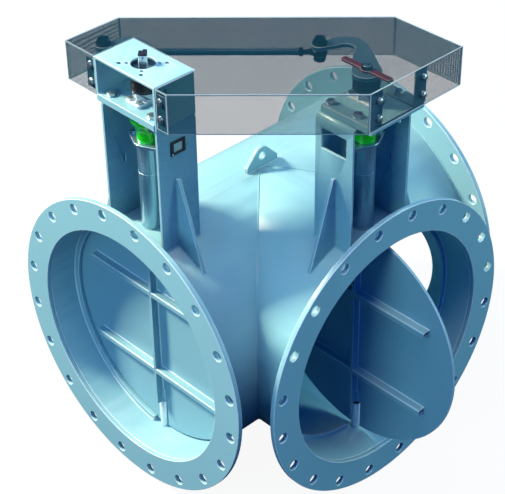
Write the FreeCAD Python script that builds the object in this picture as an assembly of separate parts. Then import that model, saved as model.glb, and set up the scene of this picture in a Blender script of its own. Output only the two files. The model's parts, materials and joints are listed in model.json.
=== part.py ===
import FreeCAD, Part
import math
import os

from FreeCAD import Vector

# Three-way butterfly damper for 600 mm ducts: a welded tee whose front and side ports
# each hold a disc on an upright shaft. Two hooked levers and a tie rod, under a
# perforated hood, open one disc while they close the other.
#
# Modelling frame, mm: origin where the three duct axes cross, +Y along the run to the
# common port, -Y to the front port, +X along the branch to the side port, +Z up.
# save() then moves the part so that its origin is the centre of the common port's face.

os.makedirs("parts", exist_ok=True)

# Duct tee and its flanges
duct_bore_r = 300.0
duct_wall = 5.0
flange_t = 12.0
flange_past_bore = 77.5
bolts_past_bore = 52.5
port_bolt_count = 20
port_bolt_hole_r = 13.0
weld_gap = 0.1              # root gap where a piece is welded to a curved wall

# Discs, their stops, and the fin and channel ribs that stiffen them
valve_past_bore = 32.0      # each shaft axis beyond the other duct's bore wall
port_past_valve = 100.0     # each flange face beyond its shaft axis
disc_edge_gap = 6.0
disc_t = 6.0
seat_depth = 14.0           # how far a stop stands in from the duct wall
seat_t = 10.0
seat_gap = 1.0              # between a stop and the closed disc
seat_end_gap = 26.0         # from the shaft axis to the end of each half stop
fin_depth = 20.0
fin_w = 7.0
rib_depth = 20.0
rib_h = 14.0
rib_wall = 3.0
rib_end_gap = 79.0          # from the disc's edge to each rib's end
rib_z = 115.0
bar_bevel = 1.5

# Shafts
shaft_r = 12.5
running_gap = 0.05          # radial clearance where a shaft turns in a bearing
free_gap = 0.5              # radial clearance where it only passes through
fit_gap = 0.1               # radial clearance of pieces keyed or bolted on one shaft
stub_square = 19.0
stub_proud = 20.0           # square end above the actuator console
screw_hole_r = 2.5
hub_wall = 5.5
upper_hub_drop = 100.0      # foot of the upper hub below the bore's top
upper_hub_h = 40.0
thread_r = 8.0

# Lower pivots on the duct floor
pivot_r = 11.0
pivot_h = 78.0
spigot_r = 6.0
spigot_h = 26.0
lower_hub_wall = 3.0
lower_hub_h = 34.0
thrust_washer_r = 13.5
thrust_washer_t = 3.0
disc_slot_gap = 1.5         # beside the shaft and the pivot, inside the disc's slots

# Towers over the valved ports, u across the duct and v along it
tower_half_u = 92.0
tower_out_v = 50.0          # from the shaft axis to the edge near the flange
tower_in_v = 60.0           # and to the edge near the crossing
tower_t = 6.0
tower_bend_r = 16.0
tower_h = 306.0             # above the duct's crown
tower_hole_r = 30.0
leg_slot_w = 5.0
leg_slot_h = 20.0
leg_slot_drop = 168.0       # below the tower's top, as are the next three drops
window_w = 74.0
window_h = 50.0
window_drop = 57.0
window_corner_r = 3.0
cable_hole_r = 4.0
cable_hole_v = 22.0
cable_hole_drop = 66.0
gusset_t = 8.0
gusset_h = 165.0            # above the duct's crown
gusset_top_w = 8.0
gusset_foot_w = 77.0
gusset_toe_h = 3.0

# Shaft tubes, their oval top rings and the green glands
tube_r = 25.5
tube_wall = 4.0
tube_drop = 90.0            # top of the tube below the tower's top
ring_t = 8.0
ring_r = 33.0
ear_r = 13.0
gland_bolt_u = 44.0
gland_bolt_r = 5.0
gland_bolt_af = 17.0
bush_h = 30.0
gland_r = 24.5
gland_neck_h = 19.0
gland_flare_h = 33.0
gland_flare_r = 38.0
gland_rim_h = 7.0

# Top plates and the actuator console
plate_t = 16.0
front_plate_half_v = 57.0
side_plate_half_u = 83.0
side_plate_in_v = 54.0
plate_bolt_v = 39.0
plate_bolt_r = 6.0
plate_bolt_af = 19.0
bolt_head_share = 0.65      # head height as a share of the bolt's diameter
nut_share = 0.85            # nut height as a share of the bolt's diameter
console_h = 106.0
console_t = 6.0
console_half_v = 55.0
console_top_half_u = 98.0
console_bend_r = 3.0
console_bore_r = 27.5
small_mount_pcd_r = 35.0
small_mount_hole_r = 4.5
large_mount_pcd_r = 51.0
large_mount_hole_r = 5.5

# Upper bearings on the top plates
base_flange_t = 8.0
base_flange_half_x = 24.0
base_flange_half_y = 38.0
base_bolt_x = 14.0
base_bolt_y = 29.0
base_bolt_r = 4.0
base_bolt_af = 13.0
base_half = 18.0            # square post, turned by 45 degrees
base_h = 27.0
housing_r = 30.0
housing_h = 33.0
groove_z = 4.0
groove_w = 2.0
groove_depth = 1.0

# Hooked levers, at rest with both pins on the -X side of their shafts
lever_t = 10.0
lever_x = 153.0
lever_y = 16.0
lever_hub_r = 33.0
lever_eye_r = 20.0
hook_in_r = 22.0
hook_out_r = 54.0
hook_clear = 4.2            # between the hook and the console's rear edge
hook_shoulder_angle = 50.0

# Lever pins, tie rod and rod ends
pin_r = 8.0
pin_af = 24.0
pin_washer_r = 17.0
pin_washer_t = 4.0
spacer_r = 12.0
spacer_h = 3.0
open_pivot_gap = 0.4        # radial, in the rod end on the side valve's lever
eye_r = 17.0
eye_t = 15.0
shank_r = 6.0
eye_to_nut = 36.0
lock_nut_t = 10.0
lock_nut_af = 18.0
rod_r = 8.0

# Pointer on the side shaft and cap on the front shaft's square end
pointer_half_l = 69.0
pointer_w = 16.0
pointer_t = 6.0
pointer_boss_r = 14.5
pointer_nut_h = 6.0
cap_h = 4.0
cap_step_h = 3.0

# Lifting lug on the crossing
lug_t = 10.0
lug_y = 6.0
lug_half_l = 50.0
lug_shoulder_h = 14.0
lug_eye_h = 31.0
lug_eye_r = 10.0
lug_head_r = 24.0

# Perforated hood over the linkage
sheet_t = 1.5
hood_h = 96.0
hood_end_reach = 194.5      # end walls from their shafts
hood_console_back = 1.0     # front wall behind the console's open face
hood_tower_reach = 96.0     # side wall from the side shaft
hood_back_offset = 205.0    # long back wall from the line through both shafts
hood_front_offset = 133.0   # diagonal front wall from the same line
hood_cut_gap = 2.0          # between the hood and the console
bracket_t = 2.5
bracket_leg = 30.0
bracket_w = 37.0
bracket_edge = 12.0         # bracket ends inside the hood's top and bottom
near_bracket_y = -72.0
far_bracket_y = 64.5
bracket_bolt_off = 8.0      # bolts beyond the middle of a tower bracket
foot_reach = 50.0           # bracket feet past the side shaft, over the top plate
clip_bolt_r = 4.0
clip_bolt_af = 13.0
clip_bolt_spacing = 42.0
clip_slot_l = 18.0

# Nameplate place on the front tower
name_frame_w = 41.0
name_frame_h = 35.0
name_frame_t = 3.0
name_face_w = 25.0
name_face_h = 21.0
name_face_t = 1.5
name_v = 5.5
name_drop = 62.5            # below the tower's top

# Heights and radii that follow from the values above
duct_outer_r = duct_bore_r + duct_wall
valve_offset = duct_bore_r + valve_past_bore
port_reach = valve_offset + port_past_valve
duct_end = port_reach - flange_t
flange_r = duct_bore_r + flange_past_bore
bolt_circle_r = duct_bore_r + bolts_past_bore
disc_r = duct_bore_r - disc_edge_gap
rib_half_l = disc_r - rib_end_gap
upper_hub_z = duct_bore_r - upper_hub_drop
pivot_top_z = pivot_h - duct_bore_r
tower_top_z = duct_outer_r + tower_h
leg_slot_z = tower_top_z - leg_slot_drop
window_z = tower_top_z - window_drop
cable_hole_z = tower_top_z - cable_hole_drop
name_z = tower_top_z - name_drop
gusset_top_z = duct_outer_r + gusset_h
tube_top_z = tower_top_z - tube_drop
plate_top_z = tower_top_z + plate_t
housing_z = plate_top_z + base_h
lever_z = housing_z + housing_h
lever_top_z = lever_z + lever_t
console_top_z = tower_top_z + console_h
console_in_u = console_top_half_u - console_t
front_plate_half_u = console_in_u
plate_bolt_u = tower_half_u - tower_bend_r - plate_bolt_af / 2 - 0.5
shaft_bore_r = shaft_r + running_gap
shaft_pass_r = shaft_r + free_gap
upper_hub_r = shaft_r + hub_wall
lower_hub_r = spigot_r + lower_hub_wall
disc_foot_z = pivot_top_z + thrust_washer_t
tube_in_r = tube_r - tube_wall
ring_top_z = tube_top_z + ring_t
rod_z = lever_z - spacer_h - eye_t / 2
hook_x = -console_top_half_u
hook_y = console_half_v + hook_clear - math.sqrt(hook_in_r ** 2 - console_t ** 2)
side_plate_out_v = hood_tower_reach - sheet_t - bracket_t
hood_top_z = console_top_z
hood_foot_z = hood_top_z - hood_h


# Basic solids
def cylinder(r, z0, z1, x=0.0, y=0.0):
    return Part.makeCylinder(r, z1 - z0, Vector(x, y, z0))


def tube(r_out, r_in, z0, z1, x=0.0, y=0.0):
    return cylinder(r_out, z0, z1, x, y).cut(cylinder(r_in, z0 - 1, z1 + 1, x, y))


def block(x0, x1, y0, y1, z0, z1):
    return Part.makeBox(x1 - x0, y1 - y0, z1 - z0, Vector(x0, y0, z0))


def prism(points, sweep):
    edges = Part.makePolygon([Vector(*p) for p in points] + [Vector(*points[0])])
    return Part.Face(edges).extrude(Vector(*sweep))


def hexagon(across_flats, z0, z1, x=0.0, y=0.0, turn=0.0):
    corner = across_flats / math.sqrt(3)
    angles = [math.radians(60 * i + turn) for i in range(6)]
    points = [(x + corner * math.cos(a), y + corner * math.sin(a), z0) for a in angles]
    return prism(points, (0, 0, z1 - z0))


def bolt(r, across_flats, seat_z, length, x=0.0, y=0.0):
    head_h = 2 * r * bolt_head_share
    return hexagon(across_flats, seat_z, seat_z + head_h, x, y).fuse(
        cylinder(r, seat_z - length, seat_z, x, y)).removeSplitter()


def nut(r, across_flats, z0, z1, x=0.0, y=0.0, turn=0.0):
    body = hexagon(across_flats, z0, z1, x, y, turn)
    return body.cut(cylinder(r + fit_gap, z0 - 1, z1 + 1, x, y))


def along_y(r, y0, y1):
    return Part.makeCylinder(r, y1 - y0, Vector(0, y0, 0), Vector(0, 1, 0))


def along_x(r, x0, x1):
    return Part.makeCylinder(r, x1 - x0, Vector(x0, 0, 0), Vector(1, 0, 0))


def corners(u, v):
    return [(-u, -v), (u, -v), (u, v), (-u, v)]


def compound(solids):
    return solids[0] if len(solids) == 1 else Part.makeCompound(solids)


# Places: each valve is made about its own shaft with the duct along local Y
def turned(shape, degrees):
    copy = shape.copy()
    copy.rotate(Vector(0, 0, 0), Vector(0, 0, 1), degrees)
    return copy


def moved(shape, x, y, z=0.0):
    copy = shape.copy()
    copy.translate(Vector(x, y, z))
    return copy


def front(shape):
    return moved(shape, 0, -valve_offset)


def side(shape):
    return moved(shape, valve_offset, 0)


def side_fixed(shape):
    return side(turned(shape, 90))


def save(name, *solids):
    shape = moved(compound(list(solids)), 0, -port_reach)
    shape.exportStep("parts/%s.step" % name)


# Duct tee: run and branch of one diameter, mitred along the planes x = +-y
def mitre_wedge():
    reach = port_reach + duct_outer_r
    points = [(0, 0, -reach), (reach, -reach, -reach), (reach, reach, -reach)]
    return prism(points, (0, 0, 2 * reach))


def shaft_hole(x, y):
    return cylinder(shaft_pass_r + free_gap, 0, duct_outer_r + 1, x, y)


def run_duct():
    pipe = along_y(duct_outer_r, -duct_end, duct_end).cut(
        along_y(duct_bore_r, -duct_end - 1, duct_end + 1))
    return pipe.cut(mitre_wedge()).cut(shaft_hole(0, -valve_offset))


def branch_duct():
    pipe = along_x(duct_outer_r, 0, duct_end).cut(along_x(duct_bore_r, -1, duct_end + 1))
    return pipe.common(mitre_wedge()).cut(shaft_hole(valve_offset, 0))


def port_flange():
    ring = along_y(flange_r, -flange_t, 0).cut(along_y(duct_bore_r, -flange_t - 1, 1))
    for i in range(port_bolt_count):
        angle = 2 * math.pi * (i + 0.5) / port_bolt_count
        centre = Vector(bolt_circle_r * math.sin(angle), -flange_t - 1,
                        bolt_circle_r * math.cos(angle))
        ring = ring.cut(Part.makeCylinder(port_bolt_hole_r, flange_t + 2, centre, Vector(0, 1, 0)))
    return ring


# Half stops: one in front of the disc, one behind it, so that the disc can swing away
def half_seat(side_sign):
    outer = duct_bore_r - weld_gap
    inner = duct_bore_r - seat_depth
    start = disc_t / 2 + seat_gap
    ring = along_y(outer, start, start + seat_t).cut(along_y(inner, start - 1, start + seat_t + 1))
    keep = block(seat_end_gap, outer, 0, start + seat_t, -outer, outer)
    half = ring.common(keep)
    return half if side_sign > 0 else turned(half, 180)


def lifting_lug():
    base_z = duct_bore_r
    shoulder_z = duct_outer_r + lug_shoulder_h
    eye_z = duct_outer_r + lug_eye_h
    # Tangents from the shoulders to the round head
    reach = math.hypot(lug_half_l, eye_z - shoulder_z)
    lean = math.atan2(eye_z - shoulder_z, lug_half_l) + math.asin(lug_head_r / reach)
    touch_y = lug_head_r * math.sin(lean)
    touch_z = eye_z + lug_head_r * math.cos(lean)
    body = prism([(-lug_t / 2, -lug_half_l, base_z), (-lug_t / 2, lug_half_l, base_z),
                  (-lug_t / 2, lug_half_l, shoulder_z), (-lug_t / 2, touch_y, touch_z),
                  (-lug_t / 2, -touch_y, touch_z), (-lug_t / 2, -lug_half_l, shoulder_z)],
                 (lug_t, 0, 0))
    head = Part.makeCylinder(lug_head_r, lug_t, Vector(-lug_t / 2, 0, eye_z), Vector(1, 0, 0))
    eye = Part.makeCylinder(lug_eye_r, lug_t + 2, Vector(-lug_t / 2 - 1, 0, eye_z), Vector(1, 0, 0))
    body = moved(body.fuse(head).cut(eye), 0, lug_y)
    reach_y = lug_half_l + lug_y + 1
    return body.cut(along_y(duct_outer_r + weld_gap, -reach_y, reach_y)).removeSplitter()


# Towers: a folded plate with its legs cut to the duct's crown, open towards the flange and
# closed by a back wall towards the crossing
def tower_shell():
    def arch(half_u, top_z, r):
        body = block(-half_u, half_u, -tower_out_v, tower_in_v, 0, top_z)
        rim = [e for e in body.Edges if abs(e.CenterOfMass.z - top_z) < 1e-6
               and abs(abs(e.CenterOfMass.x) - half_u) < 1e-6]
        return body.makeFillet(r, rim)
    hollow = arch(tower_half_u - tower_t, tower_top_z - tower_t, tower_bend_r - tower_t)
    folded = arch(tower_half_u, tower_top_z, tower_bend_r).cut(moved(hollow, 0, -tower_t))
    folded = folded.cut(along_y(duct_outer_r + weld_gap, -tower_out_v - 1, tower_in_v + 1))
    folded = folded.cut(cylinder(tower_hole_r, tower_top_z - tower_t - 1, tower_top_z + 1))
    for x, y in corners(plate_bolt_u, plate_bolt_v):
        folded = folded.cut(cylinder(plate_bolt_r + fit_gap, tower_top_z - tower_t - 1,
                                     tower_top_z + 1, x, y))
    slot = block(-tower_half_u - 1, tower_half_u + 1, -leg_slot_w / 2, leg_slot_w / 2,
                 leg_slot_z - leg_slot_h / 2, leg_slot_z + leg_slot_h / 2)
    return folded.cut(slot)


def side_tower():
    middle_v = (tower_in_v - tower_out_v) / 2
    window = block(-tower_half_u - 1, -tower_half_u + tower_t + 1,
                   middle_v - window_w / 2, middle_v + window_w / 2,
                   window_z - window_h / 2, window_z + window_h / 2)
    window = window.makeFillet(window_corner_r, [
        e for e in window.Edges if abs(e.tangentAt(e.FirstParameter).x) > 0.99])
    cable_hole = Part.makeCylinder(
        cable_hole_r, tower_t + 2,
        Vector(tower_half_u - tower_t - 1, -cable_hole_v, cable_hole_z), Vector(1, 0, 0))
    return tower_shell().cut(window).cut(cable_hole)


def gussets():
    out_x = tower_half_u + gusset_foot_w
    foot_z = math.sqrt(duct_outer_r ** 2 - out_x ** 2)
    web = prism([(tower_half_u, -gusset_t / 2, gusset_top_z),
                 (tower_half_u + gusset_top_w, -gusset_t / 2, gusset_top_z),
                 (out_x, -gusset_t / 2, foot_z + gusset_toe_h),
                 (out_x, -gusset_t / 2, 0), (tower_half_u, -gusset_t / 2, 0)],
                (0, gusset_t, 0))
    web = web.cut(along_y(duct_outer_r + weld_gap, -gusset_t, gusset_t))
    return [web, turned(web, 180)]


# Shaft tube with its oval ring on top, the bush in its foot, and the gland over it
def shaft_tube():
    body = tube(tube_r, tube_in_r, 0, tube_top_z)
    body = body.cut(along_y(duct_outer_r + weld_gap, -tube_r - 1, tube_r + 1))
    ring = cylinder(ring_r, tube_top_z, ring_top_z)
    for u in (-gland_bolt_u, gland_bolt_u):
        ring = ring.fuse(cylinder(ear_r, tube_top_z, ring_top_z, u))
        # Common tangent from the ear to the round middle
        lean = math.asin((ring_r - ear_r) / gland_bolt_u)
        s, c = math.sin(lean), math.cos(lean)
        inner, outer = math.copysign(ring_r * s, u), u + math.copysign(ear_r * s, u)
        web = prism([(inner, ring_r * c, tube_top_z), (outer, ear_r * c, tube_top_z),
                     (outer, -ear_r * c, tube_top_z), (inner, -ring_r * c, tube_top_z)],
                    (0, 0, ring_t))
        ring = ring.fuse(web)
    ring = ring.removeSplitter().cut(cylinder(shaft_pass_r + free_gap, tube_top_z - 1, ring_top_z + 1))
    for u in (-gland_bolt_u, gland_bolt_u):
        ring = ring.cut(cylinder(gland_bolt_r + fit_gap, tube_top_z - 1, ring_top_z + 1, u))
    return body.fuse(ring).removeSplitter()


def tube_bush():
    foot_z = duct_outer_r
    return tube(tube_in_r - fit_gap, shaft_bore_r, foot_z, foot_z + bush_h)


def gland():
    z1 = ring_top_z + gland_neck_h
    z2 = z1 + gland_flare_h
    z3 = z2 + gland_rim_h
    bore = shaft_pass_r
    profile = [(bore, ring_top_z), (gland_r, ring_top_z), (gland_r, z1), (gland_flare_r, z2),
               (gland_flare_r, z3), (bore, z3)]
    edges = Part.makePolygon([Vector(r, 0, z) for r, z in profile + profile[:1]])
    return Part.Face(edges).revolve(Vector(0, 0, 0), Vector(0, 0, 1), 360)


def gland_bolts():
    return [bolt(gland_bolt_r, gland_bolt_af, ring_top_z, ring_t + gland_bolt_r, u)
            for u in (-gland_bolt_u, gland_bolt_u)]


# Top plates, their bolts, and the console that carries the actuator
def top_plate(half_u, out_v, in_v):
    plate = block(-half_u, half_u, -out_v, in_v, tower_top_z, plate_top_z)
    plate = plate.cut(cylinder(shaft_pass_r + free_gap, tower_top_z - 1, plate_top_z + 1))
    holes = [(plate_bolt_u, plate_bolt_v, plate_bolt_r), (base_bolt_x, base_bolt_y, base_bolt_r)]
    for u, v, r in holes:
        for x, y in corners(u, v):
            plate = plate.cut(cylinder(r + fit_gap, tower_top_z - 1, plate_top_z + 1, x, y))
    return plate


def plate_bolts(seat_z):
    grip = seat_z - tower_top_z + tower_t
    bolts = [bolt(plate_bolt_r, plate_bolt_af, seat_z, grip + 2 * plate_bolt_r, x, y)
             for x, y in corners(plate_bolt_u, plate_bolt_v)]
    web_z = tower_top_z - tower_t
    nuts = [nut(plate_bolt_r, plate_bolt_af, web_z - 2 * plate_bolt_r * nut_share, web_z, x, y, 30)
            for x, y in corners(plate_bolt_u, plate_bolt_v)]
    return bolts + nuts


def actuator_console():
    outer = block(-console_top_half_u, console_top_half_u, -console_half_v, console_half_v,
                  tower_top_z, console_top_z)
    rim = [e for e in outer.Edges if abs(e.CenterOfMass.z - console_top_z) < 1e-6
           and abs(abs(e.CenterOfMass.x) - console_top_half_u) < 1e-6]
    outer = outer.makeFillet(console_bend_r, rim)
    inner = block(-console_in_u, console_in_u, -console_half_v - 1, console_half_v + 1,
                  tower_top_z - 1, console_top_z - console_t)
    frame = outer.cut(inner)
    frame = frame.cut(cylinder(console_bore_r, console_top_z - console_t - 1, console_top_z + 1))
    patterns = [(small_mount_pcd_r, small_mount_hole_r), (large_mount_pcd_r, large_mount_hole_r)]
    for pcd_r, hole_r in patterns:
        for x, y in corners(pcd_r / math.sqrt(2), pcd_r / math.sqrt(2)):
            frame = frame.cut(cylinder(hole_r, console_top_z - console_t - 1,
                                       console_top_z + 1, x, y))
    return frame


# Upper bearings: a bolted foot and a round black housing that the shaft turns in
def bearing_base():
    flange = block(-base_flange_half_x, base_flange_half_x, -base_flange_half_y,
                   base_flange_half_y, plate_top_z, plate_top_z + base_flange_t)
    flange = flange.makeFillet(base_flange_t, [
        e for e in flange.Edges if abs(e.tangentAt(e.FirstParameter).z) > 0.99])
    post = block(-base_half, base_half, -base_half, base_half, plate_top_z, housing_z)
    body = flange.fuse(turned(post, 45)).removeSplitter()
    body = body.cut(cylinder(shaft_pass_r, plate_top_z - 1, housing_z + 1))
    for x, y in corners(base_bolt_x, base_bolt_y):
        body = body.cut(cylinder(base_bolt_r + fit_gap, plate_top_z - 1,
                                 plate_top_z + base_flange_t + 1, x, y))
    return body


def base_bolts():
    return [bolt(base_bolt_r, base_bolt_af, plate_top_z + base_flange_t,
                 base_flange_t + plate_t, x, y) for x, y in corners(base_bolt_x, base_bolt_y)]


def bearing_housing():
    body = tube(housing_r, shaft_bore_r, housing_z, lever_z)
    groove = tube(housing_r + 1, housing_r - groove_depth, housing_z + groove_z,
                  housing_z + groove_z + groove_w)
    return body.cut(groove)


# Shafts with their different tops
def shaft_body(top_z):
    return cylinder(shaft_r, upper_hub_z + hub_wall, top_z)


def front_shaft():
    square_z = lever_top_z
    top_z = console_top_z + stub_proud
    half = stub_square / 2
    square = turned(block(-half, half, -half, half, square_z, top_z), 45)
    stub = cylinder(shaft_r, square_z, top_z).common(square)
    screw_hole = Part.makeCylinder(screw_hole_r, half,
                                   Vector(half, -half, top_z - 2 * screw_hole_r),
                                   Vector(-1, 1, 0))
    return shaft_body(square_z).fuse(stub).removeSplitter().cut(screw_hole)


def side_shaft():
    thread_h = pointer_t + pointer_nut_h + 1
    return shaft_body(lever_top_z).fuse(
        cylinder(thread_r, lever_top_z, lever_top_z + thread_h)).removeSplitter()


# Disc: a round plate on the shaft axis, slotted for the shaft above and the pivot below
def disc():
    plate = along_y(disc_r, -disc_t / 2, disc_t / 2)
    hub_top_z = upper_hub_z + upper_hub_h
    upper_gap = shaft_r + disc_slot_gap
    lower_gap = thrust_washer_r + disc_slot_gap
    plate = plate.cut(block(-upper_gap, upper_gap, -disc_t, disc_t, hub_top_z, disc_r + 1))
    plate = plate.cut(block(-lower_gap, lower_gap, -disc_t, disc_t, -disc_r - 1, disc_foot_z))
    plate = plate.fuse(cylinder(upper_hub_r, upper_hub_z, hub_top_z))
    plate = plate.fuse(cylinder(lower_hub_r, disc_foot_z, disc_foot_z + lower_hub_h))
    plate = plate.removeSplitter()
    plate = plate.cut(cylinder(shaft_r + fit_gap, upper_hub_z + hub_wall, hub_top_z + 1))
    return plate.cut(cylinder(spigot_r + running_gap, disc_foot_z - 1, pivot_top_z + spigot_h))


def disc_bars():
    face_y = -disc_t / 2
    fin = block(-fin_w / 2, fin_w / 2, face_y - fin_depth, face_y, disc_foot_z,
                upper_hub_z + upper_hub_h)
    fin = fin.cut(cylinder(upper_hub_r + fit_gap, upper_hub_z, upper_hub_z + upper_hub_h + 1))
    fin = fin.cut(cylinder(lower_hub_r + fit_gap, disc_foot_z - 1, disc_foot_z + lower_hub_h))
    bars = [fin]
    for z in (-rib_z, rib_z):
        for x0, x1 in ((-rib_half_l, -fin_w / 2), (fin_w / 2, rib_half_l)):
            rib = block(x0, x1, face_y - rib_depth, face_y, z - rib_h / 2, z + rib_h / 2)
            hollow = block(x0 - 1, x1 + 1, face_y - rib_depth + rib_wall, face_y + 1,
                           z - rib_h / 2 + rib_wall, z + rib_h / 2 - rib_wall)
            lips = [e for e in rib.Edges if abs(e.CenterOfMass.y - face_y + rib_depth) < 1e-6
                    and abs(e.tangentAt(e.FirstParameter).x) > 0.99]
            bars.append(rib.makeChamfer(bar_bevel, lips).cut(hollow))
    return bars


# Lower pivot: a post on the duct floor whose spigot enters the disc's lower hub
def lower_pivot():
    post = cylinder(pivot_r, -duct_bore_r, pivot_top_z).common(
        along_y(duct_bore_r - weld_gap, -pivot_r - 1, pivot_r + 1))
    return post.fuse(cylinder(spigot_r, pivot_top_z, pivot_top_z + spigot_h - 1)).removeSplitter()


def thrust_washer():
    return tube(thrust_washer_r, spigot_r + fit_gap, pivot_top_z, disc_foot_z)


# Hooked lever: hub, straight arm, hook round the console's side plate, and pin eye
def tangent_point(r, x, y, turn):
    angle = math.atan2(y, x) + turn * math.acos(r / math.hypot(x, y))
    return r * math.cos(angle), r * math.sin(angle)


def lever():
    def flat(points):
        return prism([(x, y, lever_z) for x, y in points], (0, 0, lever_t))
    hub = cylinder(lever_hub_r, lever_z, lever_top_z)
    eye = cylinder(lever_eye_r, lever_z, lever_top_z, -lever_x, lever_y)
    crescent = tube(hook_out_r, hook_in_r, lever_z, lever_top_z, hook_x, hook_y)
    upper = block(hook_x - hook_out_r, hook_x + hook_out_r, hook_y, hook_y + hook_out_r,
                  lever_z, lever_top_z)
    crescent = crescent.common(upper)
    shoulder = math.radians(hook_shoulder_angle)
    outer_tip = (hook_x + hook_out_r * math.cos(shoulder), hook_y + hook_out_r * math.sin(shoulder))
    inner_tip = (hook_x + hook_in_r, hook_y)
    arm = flat([outer_tip, tangent_point(lever_hub_r, *outer_tip, -1), (0, 0),
                tangent_point(lever_hub_r, *inner_tip, 1), inner_tip])
    tail = flat([(hook_x - hook_out_r, hook_y), (hook_x - hook_in_r, hook_y),
                 (-lever_x + lever_eye_r, lever_y), (-lever_x - lever_eye_r, lever_y)])
    body = hub.fuse([arm, crescent, tail, eye]).removeSplitter()
    body = body.cut(cylinder(shaft_r + fit_gap, lever_z - 1, lever_top_z + 1))
    return body.cut(cylinder(pin_r + fit_gap, lever_z - 1, lever_top_z + 1, -lever_x, lever_y))


# Lever pin: a bolt from above with a washer, a spacer over the rod end, and a nut below
def at_pin(shape):
    return moved(shape, -lever_x, lever_y)


def pin_bolt():
    seat_z = lever_top_z + pin_washer_t
    eye_z = rod_z - eye_t / 2
    nut_z = eye_z - 2 * pin_r * nut_share
    return [at_pin(bolt(pin_r, pin_af, seat_z, seat_z - nut_z + 2)),
            at_pin(nut(pin_r, pin_af, nut_z, eye_z))]


def pin_washers():
    return [at_pin(tube(pin_washer_r, pin_r + fit_gap, lever_top_z, lever_top_z + pin_washer_t)),
            at_pin(tube(spacer_r, pin_r + fit_gap, lever_z - spacer_h, lever_z))]


# Tie rod, made along local X from one pin to the other
def rod_length():
    return valve_offset * math.sqrt(2)


def rod_to_place(shape):
    rod = moved(turned(shape, 45), -lever_x, lever_y, rod_z)
    return front(rod)


def tie_rod():
    start = eye_to_nut + lock_nut_t
    return along_x(rod_r, start, rod_length() - start)


def rod_end(pin_gap):
    start = eye_to_nut + lock_nut_t
    body = cylinder(eye_r, -eye_t / 2, eye_t / 2).fuse(along_x(shank_r, 0, start)).removeSplitter()
    return body.cut(cylinder(pin_r + pin_gap, -eye_t, eye_t))


def lock_nut():
    body = hexagon(lock_nut_af, eye_to_nut, eye_to_nut + lock_nut_t, turn=30)
    body.rotate(Vector(0, 0, 0), Vector(0, 1, 0), 90)
    return body.cut(along_x(shank_r + fit_gap, 0, eye_to_nut + lock_nut_t + 1))


def other_end(shape):
    return moved(turned(shape, 180), rod_length(), 0)


# Pointer and the cap on the square end
def pointer():
    bar = block(-pointer_half_l, pointer_half_l, -pointer_w / 2, pointer_w / 2,
                lever_top_z, lever_top_z + pointer_t)
    bar = bar.makeFillet(pointer_w / 4, [
        e for e in bar.Edges if abs(e.tangentAt(e.FirstParameter).z) > 0.99])
    bar = bar.fuse(cylinder(pointer_boss_r, lever_top_z, lever_top_z + pointer_t)).removeSplitter()
    return bar.cut(cylinder(thread_r + fit_gap, lever_top_z - 1, lever_top_z + pointer_t + 1))


def square_cap():
    half = stub_square / 2
    base_z = console_top_z + stub_proud
    cap = block(-half, half, -half, half, base_z, base_z + cap_h)
    cap = cap.fuse(block(0, half, -half, half, base_z, base_z + cap_h + cap_step_h))
    return turned(cap.removeSplitter(), 45)


# Hood: outline in the modelling frame, clockwise from the front left corner
def hood_outline():
    left_x = -hood_end_reach
    front_y = -valve_offset - console_half_v + hood_console_back
    right_x = valve_offset + hood_tower_reach
    rear_y = hood_end_reach
    back = hood_back_offset * math.sqrt(2) - valve_offset
    near = -hood_front_offset * math.sqrt(2) - valve_offset
    return [(left_x, front_y), (left_x, left_x + back), (rear_y - back, rear_y),
            (right_x, rear_y), (right_x, right_x + near), (front_y - near, front_y)]


def inset(points, distance):
    result = []
    count = len(points)
    for i in range(count):
        (ax, ay), (bx, by), (cx, cy) = points[i - 1], points[i], points[(i + 1) % count]
        n1 = unit_normal(ax, ay, bx, by)
        n2 = unit_normal(bx, by, cx, cy)
        scale = distance / (1 + n1[0] * n2[0] + n1[1] * n2[1])
        result.append((bx + scale * (n1[0] + n2[0]), by + scale * (n1[1] + n2[1])))
    return result


def unit_normal(ax, ay, bx, by):
    length = math.hypot(bx - ax, by - ay)
    return (by - ay) / length, -(bx - ax) / length


def console_clearance(z0, z1):
    half_u = console_top_half_u + hood_cut_gap
    rear = -valve_offset + console_half_v + hood_cut_gap
    return block(-half_u, half_u, rear - 4 * console_half_v, rear, z0 - 1, z1 + 1)


def hood_walls():
    outer = hood_outline()
    inner = inset(outer, sheet_t)
    walls = []
    for i in range(len(outer)):
        j = (i + 1) % len(outer)
        ring = [outer[i], outer[j], inner[j], inner[i]]
        wall = prism([(x, y, hood_foot_z) for x, y in ring], (0, 0, hood_h - sheet_t))
        walls.append(wall.cut(console_clearance(hood_foot_z, hood_top_z)))
    return walls


def hood_top():
    panel = prism([(x, y, hood_top_z - sheet_t) for x, y in hood_outline()], (0, 0, sheet_t))
    return panel.cut(console_clearance(hood_top_z - sheet_t, hood_top_z))


# Brackets between the hood and the console, and between the hood and the side tower.
# Each bolt has a place on the outside of the hood and a direction into it.
def clip_heights():
    middle = hood_top_z - hood_h / 2
    return (middle - clip_bolt_spacing / 2, middle + clip_bolt_spacing / 2)


def console_clips(sign):
    front_y = hood_outline()[0][1]
    return [(Vector(sign * (console_top_half_u + bracket_leg / 2), front_y, z), Vector(0, 1, 0))
            for z in clip_heights()]


def tower_clips(centre_y):
    wall_x = hood_outline()[3][0]
    return [(Vector(wall_x, centre_y + bracket_bolt_off, z), Vector(-1, 0, 0))
            for z in clip_heights()]


def drilled(wall, clips):
    for place, inward in clips:
        start = place - inward * clip_bolt_r
        wall = wall.cut(Part.makeCylinder(clip_bolt_r + fit_gap, 2 * bracket_leg, start, inward))
    return wall


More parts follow.
